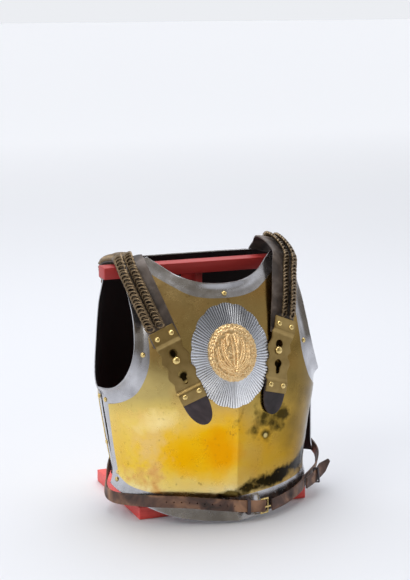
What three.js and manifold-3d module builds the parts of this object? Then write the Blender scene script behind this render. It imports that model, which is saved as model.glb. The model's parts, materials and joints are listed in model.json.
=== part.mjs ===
// A heavy cavalryman's cuirass on its wooden stand: a steel breastplate and backplate faced
// with brass, a silvered ray plate with a gilt medallion, two chain covered shoulder straps
// that hook on studs, and a leather belt with a buckle.
//
// Millimetres, +Z up. The front faces -Y and the wearer's right is -X. The origin is on the
// underside of the stand's base board, which is the floor.
import * as THREE from 'three';
import { mergeVertices } from 'three/addons/utils/BufferGeometryUtils.js';
import Module from 'manifold-3d';

const wasm = await Module();
wasm.setup();

const DEGREE = Math.PI / 180;
const GAP = 0.3; // left between pieces that touch

// ---------------------------------------------------------------- driving sizes
const STEEL = 2.5; // wall of the breastplate
const BACK_STEEL = 1.8;
const BRASS = 0.8; // sheet of the facings
const KEEL = { rise: 5, half_width: 70 }; // the ridge down the middle of the chest

// The outside of the breastplate, level by level: height, half of the width, where the sides
// stand in y, how far the front stands out from there, and how square the section is.
const CHEST_LEVELS = [
  { z: 0, half: 163, side: 6, depth: 128, square: 2.15 },
  { z: 60, half: 170, side: 5, depth: 127, square: 2.15 },
  { z: 140, half: 180, side: 4, depth: 129, square: 2.15 },
  { z: 215, half: 191, side: 4, depth: 128, square: 2.2 },
  { z: 290, half: 188, side: 8, depth: 120, square: 2.3 },
  { z: 370, half: 176, side: 30, depth: 105, square: 2.4 },
  { z: 440, half: 166, side: 45, depth: 66, square: 2.5 },
];
// The same for the backplate, which has swung a little to +X: sway says how far.
const BACK_LEVELS = [
  { z: 30, half: 181, side: 10, depth: 100, square: 2.2, sway: 23 },
  { z: 60, half: 184, side: 10, depth: 102, square: 2.2, sway: 20 },
  { z: 140, half: 191, side: 10, depth: 106, square: 2.2, sway: 12 },
  { z: 215, half: 195, side: 10, depth: 110, square: 2.2, sway: 6 },
  { z: 300, half: 191, side: 12, depth: 106, square: 2.2, sway: 4 },
  { z: 360, half: 186, side: 16, depth: 98, square: 2.2, sway: 3 },
  { z: 400, half: 181, side: 20, depth: 78, square: 2.3, sway: 1 },
  { z: 425, half: 177, side: 20, depth: 46, square: 2.4, sway: 0 },
  { z: 445, half: 174, side: 18, depth: 14, square: 2.5, sway: 0 },
];

// Edges of one half plate. turn is the angle round the body from its middle line, in degrees.
// Each part of the rim has a part of the facing's edge beside it, cut into as many steps.
const CHEST_RIM = {
  bottom: [[0, 4], [18, 8], [36, 16], [54, 30], [74, 44], [88, 52]],
  side: [[88, 52], [88, 136], [88, 220]],
  arm: [[88, 220], [80, 222], [70, 227], [62, 240], [56, 262], [52.5, 290], [52, 321], [53.5, 352],
    [57.5, 378], [62, 402], [66, 417]],
  shoulder: [[66, 417], [52, 425], [38, 436]],
  neck: [[38, 436], [30, 424], [21, 408], [12, 396], [6, 391], [0, 389.5]],
};
const CHEST_FACING = {
  bottom: [[0, 43], [18, 46], [36, 50], [54, 54], [68, 60], [79, 72]],
  side: [[79, 72], [81, 136], [79, 196]],
  arm: [[79, 196], [70, 201], [61, 209], [53, 222], [47, 245], [43.5, 272], [43, 300], [44.5, 342],
    [49, 380], [53, 398], [55, 408]],
  shoulder: [[55, 408], [50, 412], [42, 416]],
  neck: [[42, 416], [35, 407], [25, 392], [15, 377], [7, 371.5], [0, 370.5]],
};
const BACK_RIM = {
  bottom: [[0, 34], [30, 38], [60, 50], [90, 62]],
  side: [[90, 62], [90, 140], [90, 214]],
  arm: [[90, 214], [84, 221], [78, 238], [73, 270], [70, 310], [67, 355], [65, 388], [66, 411]],
  shoulder: [[66, 411], [52, 415], [38, 423]],
  neck: [[38, 423], [28, 424.5], [18, 424], [8, 423.7], [0, 423.5]],
};
const BACK_FACING = {
  bottom: [[0, 60], [30, 64], [60, 73], [81, 84]],
  side: [[81, 84], [82, 140], [80, 192]],
  arm: [[80, 192], [75, 202], [69, 222], [63, 262], [60.5, 305], [58, 350], [57, 380], [57, 396]],
  shoulder: [[57, 396], [50, 399], [43, 404]],
  neck: [[43, 404], [32, 406], [20, 404], [9, 402.5], [0, 402]],
};
// Each turned out edge: how far it stands out, and over what width of plate it rises.
const LIPS = {
  chest: { bottom: [8, 34], arm: [8, 13], neck: [10, 15] },
  back: { bottom: [4, 24], arm: [5, 11], neck: [6, 12] },
};
const LIP_FADE = { arm: [345, 400], neck: [380, 412], rest: 0.1 }; // lips sink under the straps
// The plates' facets: an oval hub round the middle, then rings out to the facing's edge.
const HUB = { z: 228, turn: 17, tall: 48 };
const STEPS = { bottom: 7, side: 4, arm: 10, shoulder: 2, neck: 7 };
const INNER_RINGS = [0, 0.28, 0.53, 0.77, 1]; // from the hub to the facing's edge
const BORDER_RINGS = [0.45, 0.75, 1]; // from the facing's edge to the plate's

const STAND = {
  base: { x: [-146, 160], y: [-60, 166], thick: 21 },
  post: { x: [-12, 0], y: [22, 94] },
  bar: { x: [-178, 160], y: [14, 45], z: [397, 417] },
};

const PLAQUE = { x: -4, z: 280, half_width: 69, half_height: 83, lobes: 16, thick: 1.2 };
const MEDALLION = { x: -3, z: 286, half_width: 42, half_height: 45, dome: 3.5 };

const STRAP = { width: 49, foot_width: 47, leather: 2.4, hook: 1.6 };
const CHAIN = { width: 16.4, height: 5 };
const STUD = { head: 7, shank: 2.3, flange: 3.2 };
const STUDS = { right: [-96, 279], left: [81, 281] };
const KEYHOLE = { round: 7, slot: 3.8, length: 13 };
const BELT = { width: 20, thick: 3 };

// ---------------------------------------------------------------- colours
const finish = (color, roughness, metalness) =>
  new THREE.MeshStandardMaterial({ color, roughness, metalness });
const STEEL_FINISH = finish('#9a9ba2', 0.3, 1);
const BRASS_FINISH = finish('#c9a63c', 0.25, 1);
const SILVERED = finish('#a9b1bd', 0.35, 1);
const GILT = finish('#d9a860', 0.35, 1);
const CHAIN_FINISH = finish('#7a6440', 0.5, 1);
const LEATHER = finish('#5c4a42', 0.7, 0);
const DARK_LEATHER = finish('#2c2428', 0.6, 0);
const RED_PAINT = finish('#c8352f', 0.6, 0);

const assembly = new THREE.Group();

function addMesh(name, geometry, material) {
  const mesh = new THREE.Mesh(geometry, material);
  mesh.name = name;
  assembly.add(mesh);
  return mesh;
}

// ---------------------------------------------------------------- meshes and solids
function meshFrom(points, triangles) {
  const geometry = new THREE.BufferGeometry();
  const places = points.flatMap((p) => [p.x, p.y, p.z]);
  geometry.setAttribute('position', new THREE.Float32BufferAttribute(places, 3));
  geometry.setIndex(triangles);
  return geometry;
}

function plainMesh(geometry) {
  const copy = geometry.clone();
  copy.deleteAttribute('normal');
  copy.deleteAttribute('uv');
  return mergeVertices(copy, 1e-4);
}

function solidFrom(geometry) {
  const merged = plainMesh(geometry);
  return new wasm.Manifold(new wasm.Mesh({
    numProp: 3,
    vertProperties: new Float32Array(merged.attributes.position.array),
    triVerts: new Uint32Array(merged.index.array),
  }));
}

function geometryFrom(solid) {
  const mesh = solid.getMesh();
  const geometry = new THREE.BufferGeometry();
  geometry.setAttribute('position', new THREE.BufferAttribute(mesh.vertProperties, 3));
  geometry.setIndex(new THREE.BufferAttribute(mesh.triVerts, 1));
  return geometry;
}

function box(x, y, z) {
  const geometry = new THREE.BoxGeometry(x[1] - x[0], y[1] - y[0], z[1] - z[0]);
  return geometry.translate((x[0] + x[1]) / 2, (y[0] + y[1]) / 2, (z[0] + z[1]) / 2);
}

// ---------------------------------------------------------------- the shape of the body
// A smooth curve through the levels, for every column of the table.
function readLevels(levels, z) {
  const last = levels.length - 1;
  const height = Math.min(Math.max(z, levels[0].z), levels[last].z);
  let i = 0;
  while (i < last - 1 && levels[i + 1].z < height) i += 1;
  const span = levels[i + 1].z - levels[i].z;
  const t = (height - levels[i].z) / span;
  const slope = (k, column) => {
    if (k === 0) return (levels[1][column] - levels[0][column]) / (levels[1].z - levels[0].z);
    if (k === last) {
      return (levels[last][column] - levels[last - 1][column]) / (levels[last].z - levels[last - 1].z);
    }
    const below = levels[k].z - levels[k - 1].z;
    const above = levels[k + 1].z - levels[k].z;
    const fall = (levels[k][column] - levels[k - 1][column]) / below;
    const rise = (levels[k + 1][column] - levels[k][column]) / above;
    return (fall * above + rise * below) / (below + above);
  };
  const row = {};
  for (const column of Object.keys(levels[0])) {
    const a = levels[i][column];
    const b = levels[i + 1][column];
    const start = slope(i, column) * span;
    const end = slope(i + 1, column) * span;
    row[column] = a + t * start + t * t * (3 * (b - a) - 2 * start - end)
      + t * t * t * (2 * (a - b) + start + end);
  }
  return row;
}

const keelAt = (x) => KEEL.rise * Math.max(0, 1 - Math.abs(x) / KEEL.half_width) ** 2;

// A point of the plate at an angle round the body and a height. back is true on the backplate.
function plateSkin(back, turn, z) {
  const row = readLevels(back ? BACK_LEVELS : CHEST_LEVELS, z);
  const sine = Math.sin(turn * DEGREE);
  const cosine = Math.cos(turn * DEGREE);
  const x = row.half * Math.sign(sine) * Math.abs(sine) ** (2 / row.square);
  const out = row.depth * Math.sign(cosine) * Math.abs(cosine) ** (2 / row.square);
  if (back) return new THREE.Vector3(x + row.sway, row.side + out, z);
  return new THREE.Vector3(x, row.side - out - keelAt(x), z);
}

function plateNormal(back, turn, z) {
  const wide = plateSkin(back, turn + 1, z).sub(plateSkin(back, turn - 1, z));
  const tall = plateSkin(back, turn, z + 1).sub(plateSkin(back, turn, z - 1));
  const normal = wide.cross(tall).normalize();
  return back ? normal.negate() : normal;
}

// A point of a plate above a place given by x and z, and the direction that it faces there.
function skinAt(back, x, z) {
  const row = readLevels(back ? BACK_LEVELS : CHEST_LEVELS, z);
  const part = Math.min(Math.abs(x - (back ? row.sway : 0)) / row.half, 0.999);
  const out = row.depth * (1 - part ** row.square) ** (1 / row.square);
  return new THREE.Vector3(x, back ? row.side + out : row.side - out - keelAt(x), z);
}

function facingAt(back, x, z) {
  const wide = skinAt(back, x + 3, z).sub(skinAt(back, x - 3, z));
  const tall = skinAt(back, x, z + 3).sub(skinAt(back, x, z - 3));
  const normal = wide.cross(tall).normalize();
  return back ? normal.negate() : normal;
}

const plateAt = (back, x, z, lift) => skinAt(back, x, z).addScaledVector(facingAt(back, x, z), lift);
const chestAt = (x, z, lift) => plateAt(false, x, z, lift);

// ---------------------------------------------------------------- breastplate and backplate
// A smooth curve through hand chosen [turn, z] points, cut into equal steps.
function smoothEdge(points, steps) {
  const path = points.map(([turn, z]) => new THREE.Vector3(turn, z, 0));
  const curve = new THREE.CatmullRomCurve3(path, false, 'centripetal');
  return Array.from({ length: steps + 1 }, (_, i) => curve.getPoint(i / steps));
}

const mirrored = (points) => [...points].reverse().map((p) => new THREE.Vector3(-p.x, p.y, 0));

// A whole closed edge of a plate, anticlockwise seen from outside.
function wholeEdge(edge) {
  const half = Object.keys(STEPS).flatMap((part) => smoothEdge(edge[part], STEPS[part]).slice(0, -1));
  const top = new THREE.Vector3(0, edge.neck[edge.neck.length - 1][1], 0);
  return [...half, top, ...mirrored(half.slice(1))];
}

function distanceTo(line, point) {
  let best = Infinity;
  for (let i = 0; i + 1 < line.length; i += 1) {
    const segment = new THREE.Line3(line[i], line[i + 1]);
    best = Math.min(best, segment.closestPointToPoint(point, true, new THREE.Vector3()).distanceTo(point));
  }
  return best;
}

// The turned out edges: a function that gives how far a point of the plate is raised.
function lipHeight(back, edge) {
  const lips = back ? LIPS.back : LIPS.chest;
  const lines = Object.entries(lips).flatMap(([part, size]) => {
    const half = smoothEdge(edge[part], 24);
    const sides = [half, mirrored(half)];
    return sides.map((line) => ({ size, part, line: line.map((p) => plateSkin(back, p.x, p.y)) }));
  });
  return (point) => {
    let height = 0;
    for (const { size: [rise, width], part, line } of lines) {
      const near = Math.max(0, 1 - distanceTo(line, point) / width);
      const fade = LIP_FADE[part] ? THREE.MathUtils.smoothstep(point.z, ...LIP_FADE[part]) : 0;
      height = Math.max(height, rise * near * near * (1 - fade * (1 - LIP_FADE.rest)));
    }
    return height;
  };
}

// A sheet between two offsets from the plate's skin: rings of points from the hub out to the
// facing's edge and, on a whole plate, on to its rim.
function plateSheet(back, rim, facing, whole, inside, outside) {
  const inner = wholeEdge(facing);
  const outer = wholeEdge(rim);
  const pole = new THREE.Vector3(0, HUB.z, 0);
  const hub = inner.map((_, i) => {
    const angle = (i / inner.length - 0.25) * 2 * Math.PI;
    return new THREE.Vector3(HUB.turn * Math.cos(angle), HUB.z + HUB.tall * Math.sin(angle), 0);
  });
  const rings = INNER_RINGS.map((part) => inner.map((p, i) => hub[i].clone().lerp(p, part)));
  if (whole) rings.push(...BORDER_RINGS.map((part) => inner.map((p, i) => p.clone().lerp(outer[i], part))));
  const raise = lipHeight(back, rim);
  const layer = (offset) => [[pole], ...rings].map((ring) => ring.map((p) => {
    const skin = plateSkin(back, p.x, p.y);
    return skin.addScaledVector(plateNormal(back, p.x, p.y), offset + raise(skin));
  }));
  return closeLayers(layer(outside), layer(inside), layer(0).flat(), back);
}

// The two faces of a sheet, each a middle point and rings of equal length, joined round the rim.
// Every square is split along its short diagonal in the layout, alike for sheets that lie close.
function closeLayers(outer, inner, layout, turned) {
  const points = [...outer.flat(), ...inner.flat()];
  const shift = points.length / 2;
  const count = outer[1].length;
  const triangles = [];
  const add = (a, b, c) => (turned ? triangles.push(a, c, b) : triangles.push(a, b, c));
  const node = (ring, i) => 1 + ring * count + (i % count);
  const last = outer.length - 2;
  for (let i = 0; i < count; i += 1) {
    add(0, node(0, i), node(0, i + 1));
    add(shift, shift + node(0, i + 1), shift + node(0, i));
    for (let ring = 0; ring < last; ring += 1) {
      const [a, b, c, d] = [node(ring, i), node(ring, i + 1), node(ring + 1, i), node(ring + 1, i + 1)];
      const straight = layout[a].distanceTo(layout[d]) < layout[b].distanceTo(layout[c]);
      for (const [p, q, r] of straight ? [[a, c, d], [a, d, b]] : [[a, c, b], [b, c, d]]) {
        add(p, q, r);
        add(p + shift, r + shift, q + shift);
      }
    }
    const [p, q] = [node(last, i), node(last, i + 1)];
    add(p, p + shift, q + shift);
    add(p, q + shift, q);
  }
  return meshFrom(points, triangles);
}

addMesh('breast_plate', plateSheet(false, CHEST_RIM, CHEST_FACING, true, -STEEL, 0), STEEL_FINISH);
addMesh('breast_facing', plateSheet(false, CHEST_RIM, CHEST_FACING, false, GAP, GAP + BRASS), BRASS_FINISH);
addMesh('back_plate', plateSheet(true, BACK_RIM, BACK_FACING, true, -BACK_STEEL, 0), STEEL_FINISH);
addMesh('back_facing', plateSheet(true, BACK_RIM, BACK_FACING, false, GAP, GAP + BRASS), BRASS_FINISH);

// ---------------------------------------------------------------- stand
const UNDER_BAR = STAND.bar.z[0] - GAP;
addMesh('stand_base', box(STAND.base.x, STAND.base.y, [0, STAND.base.thick]), RED_PAINT);
addMesh('stand_post', box(STAND.post.x, STAND.post.y, [STAND.base.thick + GAP, UNDER_BAR]), RED_PAINT);
addMesh('stand_crossbar', box(STAND.bar.x, STAND.bar.y, STAND.bar.z), RED_PAINT);

// ---------------------------------------------------------------- plaque and medallion
const ON_FACING = GAP + BRASS + GAP;
const PLAQUE_LIFT = ON_FACING + 0.8; // it stands on washers, clear of the ridge

// A disc that follows the chest: rings of points, each with its own lift off the skin.
function chestDisc(place, rays, parts, edgeAt, liftAt, underside) {
  const at = (part, angle, lift) => {
    const reach = edgeAt(angle) * part;
    const x = place.x + place.half_width * reach * Math.cos(angle);
    return chestAt(x, place.z + place.half_height * reach * Math.sin(angle), lift);
  };
  const angles = Array.from({ length: rays }, (_, i) => (i / rays) * 2 * Math.PI);
  const ring = (part, lift) => angles.map((angle) => at(part, angle, lift(part)));
  const layer = (lift) => [[at(0, 0, lift(0))], ...parts.map((part) => ring(part, lift))];
  const top = layer(liftAt);
  return closeLayers(top, layer(() => underside), top.flat(), false);
}

const PLAQUE_RAYS = PLAQUE.lobes * 3;
const scallop = (angle) => 0.975 + 0.025 * Math.cos(angle * PLAQUE.lobes);
const plaqueTop = PLAQUE_LIFT + PLAQUE.thick;
const rays = chestDisc(PLAQUE, PLAQUE_RAYS, [0.4, 0.7, 1], scallop, () => plaqueTop, PLAQUE_LIFT);
addMesh('plaque_rays', rays, SILVERED);
const medallionBase = plaqueTop + GAP + 0.2;
const dome = (part) => medallionBase + 1.5 + MEDALLION.dome * (1 - part * part);
addMesh('plaque_medallion', chestDisc(MEDALLION, 32, [0.5, 0.85, 1], () => 1, dome, medallionBase), GILT);

// ---------------------------------------------------------------- ribbons: straps and belt
// A station is a place in the middle of a ribbon and the way its face looks there. Its lower and
// upper face and its half width are numbers, or functions of the part of the way along.
function ribbon(stations, low, high, half) {
  const points = [];
  const last = stations.length - 1;
  const read = (value, part) => (typeof value === 'function' ? value(part) : value);
  stations.forEach(({ place, face }, i) => {
    const before = stations[Math.max(i - 1, 0)].place;
    const after = stations[Math.min(i + 1, last)].place;
    const across = after.clone().sub(before).cross(face).normalize();
    const part = i / last;
    const edges = [-read(half, part), read(half, part)];
    const lifts = [read(low, part), read(high, part)];
    for (const [edge, lift] of [[0, 0], [1, 0], [1, 1], [0, 1]]) {
      points.push(place.clone().addScaledVector(across, edges[edge]).addScaledVector(face, lifts[lift]));
    }
  });
  const triangles = [];
  for (let i = 0; i < last; i += 1) {
    for (let k = 0; k < 4; k += 1) {
      const [a, b] = [i * 4 + k, i * 4 + ((k + 1) % 4)];
      triangles.push(a, b + 4, b, a, a + 4, b + 4);
    }
  }
  const end = last * 4;
  triangles.push(0, 1, 2, 0, 2, 3, end, end + 2, end + 1, end, end + 3, end + 2);
  return meshFrom(points, triangles);
}

// Places at equal steps along a smooth curve through stations, each with its face.
function route(stations, steps) {
  const places = new THREE.CatmullRomCurve3(stations.map((s) => s.place), false, 'centripetal');
  const last = stations.length - 1;
  return Array.from({ length: steps + 1 }, (_, i) => {
    const t = places.getUtoTmapping(i / steps);
    const k = Math.min(Math.floor(t * last), last - 1);
    const face = stations[k].face.clone().lerp(stations[k + 1].face, t * last - k).normalize();
    return { place: places.getPoint(t), face };
  });
}

const station = (x, y, z, fx, fy, fz) => ({
  place: new THREE.Vector3(x, y, z),
  face: new THREE.Vector3(fx, fy, fz).normalize(),
});
const onPlate = (back, x, z, lift = 0) => ({ place: plateAt(back, x, z, lift), face: facingAt(back, x, z) });

// The shoulder straps run from under the hook plates over the shoulders to rivets on the back.
const OVER_SHOULDER = {
  right: [[-107, 306, 0.6], [-112, 322, 1], [-124, 362, 6], [-134, 400, 8], [-137, 412, 8]],
  left: [[92, 306, 0.6], [95, 322, 1], [105, 362, 6], [117, 400, 8], [123, 420, 10]],
};
// Places over the shoulder, each with the way that the strap faces there.
const CREST = {
  right: [[-139, 2, 427, -0.3, 0, 1], [-132, 36, 421.5, -0.06, 0.3, 1]],
  left: [[127, 26, 443, 0.2, 0, 1]],
};
const DOWN_BACK = {
  right: [[-133, 402, 15.5], [-130, 382, 8], [-125, 352, 4], [-118, 312, 2]],
  left: [[134, 424, 7], [132, 402, 6], [125, 355, 4], [118, 312, 2]],
};
const STRAP_LOW = plaqueTop + 0.5; // underside of the leather above the plate's skin

function shoulderRoute(side) {
  const front = OVER_SHOULDER[side].map(([x, z, lift]) => onPlate(false, x, z, lift));
  const rear = DOWN_BACK[side].map(([x, z, lift]) => onPlate(true, x, z, lift));
  return [...front, ...CREST[side].map((place) => station(...place)), ...rear];
}

// The hook plates and the leather tips lie on one straight run down the chest.
const HOOK_RUN = {
  right: [[-114, 326, 1.8], [-107, 308, 1.2], [-96, 279], [-86, 252], [-75, 226], [-70, 214]],
  left: [[99, 327, 3.2], [93, 309, 3.2], [82, 279], [78, 252], [72, 226], [69, 214]],
};
const TIP_RUN = {
  right: [[-78, 233], [-70, 214], [-60, 194], [-50, 176]],
  left: [[74, 233], [69, 214], [66, 196], [64, 178]],
};
const HOOK_STEPS = 20;
const HOOK_CLEAR = 1.5; // the two runs bend a little differently
const HOOK_TOP = 0.2; // share of the hook plate that lies on the strap
const HOOK_FOOT = 0.83; // from here it lies on the leather tip

const LEATHER_TOP = STRAP_LOW + STRAP.leather;
const hookLow = (part) => {
  const onLeather = Math.max(
    1 - THREE.MathUtils.smoothstep(part, HOOK_TOP - 0.03, HOOK_TOP + 0.03),
    THREE.MathUtils.smoothstep(part, HOOK_FOOT - 0.03, HOOK_FOOT + 0.03),
  );
  return THREE.MathUtils.lerp(STRAP_LOW, LEATHER_TOP + HOOK_CLEAR, onLeather);
};
// The scalloped edge of a hook plate: three lobes between its straight ends.
const hookHalf = (part) => {
  const middle = Math.min(Math.max((part - HOOK_TOP) / (HOOK_FOOT - HOOK_TOP), 0), 1);
  return 21.5 + 2.5 * Math.cos(middle * 3 * 2 * Math.PI) * Math.sin(middle * Math.PI) ** 0.5;
};

// A shoulder strap is narrow at its feet and wide over the shoulder.
const strapHalf = (part) => {
  const wide = THREE.MathUtils.smoothstep(Math.min(part, 1 - part), 0.02, 0.2);
  return THREE.MathUtils.lerp(STRAP.foot_width, STRAP.width, wide) / 2;
};

function keyholeCutter(side, x, z) {
  const { place, face } = onPlate(false, x, z);
  const run = HOOK_RUN[side];
  const [from, to] = [run[2], run[3]].map(([px, pz]) => plateAt(false, px, pz, 0));
  const down = to.sub(from).projectOnPlane(face).normalize();
  const across = down.clone().cross(face);
  const shape = new THREE.Shape();
  const meet = Math.sqrt(KEYHOLE.round ** 2 - KEYHOLE.slot ** 2);
  const opening = Math.atan2(-meet, KEYHOLE.slot);
  shape.absarc(0, 0, KEYHOLE.round, opening, Math.PI - opening, false);
  shape.lineTo(-KEYHOLE.slot, -KEYHOLE.length);
  shape.absarc(0, -KEYHOLE.length, KEYHOLE.slot, Math.PI, 2 * Math.PI, false);
  const geometry = new THREE.ExtrudeGeometry(shape, { depth: 12, bevelEnabled: false, curveSegments: 6 });
  const axes = new THREE.Matrix4().makeBasis(across.negate(), down.negate(), face);
  axes.setPosition(place);
  return geometry.applyMatrix4(axes);
}

const KEYHOLES = {
  right: [[-100, 290], [-88, 257]],
  left: [[83.5, 291], [78.5, 260]],
};

function tipHalf(part) {
  const rest = Math.max(0, (part - 0.35) / 0.65);
  return 21 * Math.sqrt(Math.max(0.003, 1 - rest ** 2.2));
}

const hookRoute = (side) => route(
  HOOK_RUN[side].map(([x, z, lift = 0]) => onPlate(false, x, z, lift)), HOOK_STEPS,
);
const hookStations = { right: hookRoute('right'), left: hookRoute('left') };
const STRAP_STEPS = 22;
const strapStations = {
  right: route(shoulderRoute('right'), STRAP_STEPS),
  left: route(shoulderRoute('left'), STRAP_STEPS),
};

for (const side of ['right', 'left']) {
  addMesh(`shoulder_strap_${side}`, ribbon(strapStations[side], STRAP_LOW, LEATHER_TOP, strapHalf), LEATHER);

  const hook = ribbon(hookStations[side], hookLow, (part) => hookLow(part) + STRAP.hook, hookHalf);
  const cutters = KEYHOLES[side].map(([x, z]) => solidFrom(keyholeCutter(side, x, z)));
  const cut = cutters.reduce((solid, cutter) => solid.subtract(cutter), solidFrom(hook));
  addMesh(`hook_plate_${side}`, geometryFrom(cut), BRASS_FINISH);

  const tip = TIP_RUN[side].map(([x, z]) => onPlate(false, x, z));
  addMesh(`strap_tip_${side}`, ribbon(route(tip, 10), STRAP_LOW, LEATHER_TOP, tipHalf), DARK_LEATHER);
}

// ---------------------------------------------------------------- chains on the shoulder straps
// Each chain is one flat tube along its strap; its links are too many for pieces of their own.
const CHAIN_OFFSETS = { outer: [-0.335, 0.335], inner: [0.01, -0.01] }; // share of the strap's width
const CHAIN_SPAN = [2, 20]; // the strap's stations that it starts and ends at
const CHAIN_CLEAR = 1.7; // the leather twists a little between its stations

function chainTube(side, row) {
  const shift = CHAIN_OFFSETS[row][side === 'right' ? 0 : 1] * STRAP.width;
  const over = strapStations[side];
  const points = [];
  for (let i = CHAIN_SPAN[0]; i <= CHAIN_SPAN[1]; i += 1) {
    const { place, face } = over[i];
    const across = over[i + 1].place.clone().sub(over[i - 1].place).cross(face).normalize();
    for (const [wide, tall] of [[-1, 0.3], [-0.7, 1], [0.7, 1], [1, 0.3], [0.8, 0], [-0.8, 0]]) {
      const edge = shift + (wide * CHAIN.width) / 2;
      const lift = LEATHER_TOP + CHAIN_CLEAR + tall * CHAIN.height;
      points.push(place.clone().addScaledVector(across, edge).addScaledVector(face, lift));
    }
  }
  return tubeFrom(points, 6);
}

// A closed tube from rings of points that all have the same number of corners.
function tubeFrom(points, corners) {
  const triangles = [];
  const last = points.length / corners - 1;
  for (let i = 0; i < last; i += 1) {
    for (let k = 0; k < corners; k += 1) {
      const [a, b] = [i * corners + k, i * corners + ((k + 1) % corners)];
      triangles.push(a, b, b + corners, a, b + corners, a + corners);
    }
  }
  const end = last * corners;
  for (let k = 1; k + 1 < corners; k += 1) {
    triangles.push(0, k + 1, k, end, end + k, end + k + 1);
  }
  return meshFrom(points, triangles);
}

for (const side of ['right', 'left']) {
  for (const row of ['outer', 'inner']) addMesh(`chain_${side}_${row}`, chainTube(side, row), CHAIN_FINISH);
}

// ---------------------------------------------------------------- rivets and studs
// A round head turned from a profile, standing on a face of the plate.
function turned(profile, place, face, sides = 8) {
  const points = profile.map(([radius, height]) => new THREE.Vector2(radius, height));
  const geometry = new THREE.LatheGeometry(points, sides);
  const turn = new THREE.Quaternion().setFromUnitVectors(new THREE.Vector3(0, 1, 0), face);
  return plainMesh(geometry.applyQuaternion(turn).translate(place.x, place.y, place.z));
}

const domeProfile = (radius, height) => [[0, 0], [radius, 0], [radius * 0.75, height * 0.7], [0, height]];

const RIVET = { radius: 5, height: 3 };
const strapRivet = (name, place, face) => addMesh(
  name, turned(domeProfile(RIVET.radius, RIVET.height), place, face), BRASS_FINISH,
);

// Two rivets abreast at a place along a straight run of stations.
function pairAcross(stations, at, spread, lift) {
  const next = Math.min(at + 1, stations.length - 1);
  const along = stations[next].place.clone().sub(stations[at ? at - 1 : 0].place);
  const across = along.cross(stations[at].face).normalize();
  return [-spread, spread].map((edge) => stations[at].place.clone()
    .addScaledVector(across, edge).addScaledVector(stations[at].face, lift));
}

const HOOK_RIVET_LIFT = LEATHER_TOP + HOOK_CLEAR + STRAP.hook + 2 * GAP;
for (const side of ['right', 'left']) {
  const run = hookStations[side];
  for (const [end, at] of [['top', 2], ['foot', HOOK_STEPS - 2]]) {
    pairAcross(run, at, 12.5, HOOK_RIVET_LIFT).forEach((place, i) => {
      strapRivet(`hook_rivet_${side}_${end}_${i + 1}`, place, run[at].face);
    });
  }
  const over = strapStations[side];
  pairAcross(over, STRAP_STEPS - 1, 13, LEATHER_TOP + 2 * GAP).forEach((place, i) => {
    strapRivet(`back_rivet_${side}_${i + 1}`, place, over[STRAP_STEPS - 1].face);
  });
}

const STUD_TOP = STRAP_LOW + STRAP.hook + 1.2; // clear of the hook plate's bend
for (const side of ['right', 'left']) {
  const [x, z] = STUDS[side];
  const { head, shank, flange } = STUD;
  const neck = STUD_TOP - ON_FACING;
  const profile = [[0, 0], [flange, 0], [flange, 0.5], [shank, 0.6], [shank, neck], [head, neck],
    [head * 0.9, neck + 2], [head * 0.5, neck + 3.4], [0, neck + 3.8]];
  const { place, face } = onPlate(false, x, z, ON_FACING);
  addMesh(`stud_${side}`, turned(profile, place, face, 12), BRASS_FINISH);
}

// Rivets that hold the facings down, on the steel borders: back plate or not, turn and height.
const BORDER_RIVETS = {
  breast_rivet: [false, [[0, 378], [47.5, 287], [-47.5, 287], [83, 201], [-83, 201], [80, 75], [-80, 75],
    [81, 62], [-81, 62]]],
  backplate_rivet: [true, [[0, 412], [62, 330], [-62, 330], [85, 198], [-85, 198], [84, 116], [-84, 116]]],
};
for (const [name, [back, places]] of Object.entries(BORDER_RIVETS)) {
  const raised = lipHeight(back, back ? BACK_RIM : CHEST_RIM);
  places.forEach(([turn, z], i) => {
    const face = plateNormal(back, turn, z);
    const skin = plateSkin(back, turn, z);
    const place = skin.clone().addScaledVector(face, raised(skin) + ON_FACING + 0.4);
    addMesh(`${name}_${i + 1}`, turned(domeProfile(4, 2.4), place, face), BRASS_FINISH);
  });
}

// ---------------------------------------------------------------- belt
// The belt stands on edge: its face looks away from the middle of the body, and its two ends
// are riveted to the sides of the back plate.
const BELT_CENTRE = { x: 5, y: 20 };
const BELT_HALF = BELT.width / 2;
const beltAt = ([x, y, z]) => station(x, y, z, x - BELT_CENTRE.x, y - BELT_CENTRE.y, 0);
const beltRoute = (places, ends, steps) => route([...ends, ...places.map(beltAt)], steps);
const LONG_BELT = [[-174, 26, 46], [-182, 0, 36], [-178, -26, 34], [-165, -50, 36], [-142, -82, 40],
  [-116, -103, 42], [-87, -118, 42], [-54, -130, 39], [-22, -138, 35], [16, -140, 29], [49, -136, 24]];
const SHORT_BELT = [[211, 10, 62], [204, -10, 47], [191, -26, 38], [175, -43, 35], [156, -63, 34],
  [138, -86, 33], [114, -105, 29], [86, -121, 25], [62, -132, 23]];
// The free end turns its face to the front.
const BELT_TAIL = [[152, -77, 33, 0.8, -0.55, 0], [168, -65, 34, 0.85, -0.5, 0],
  [184, -51, 36, 0.75, -0.65, 0.1], [197, -41, 41, 0.5, -0.85, 0.25],
  [209, -35, 48, 0.3, -0.95, 0.3], [218, -32, 54, 0.2, -0.95, 0.3]];
const LONG_END = [[-128, 80], [-152, 70]].map(([x, z]) => onPlate(true, x, z, 3));
const SHORT_END = [[150, 98], [182, 92]].map(([x, z]) => onPlate(true, x, z, 3));

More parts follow.
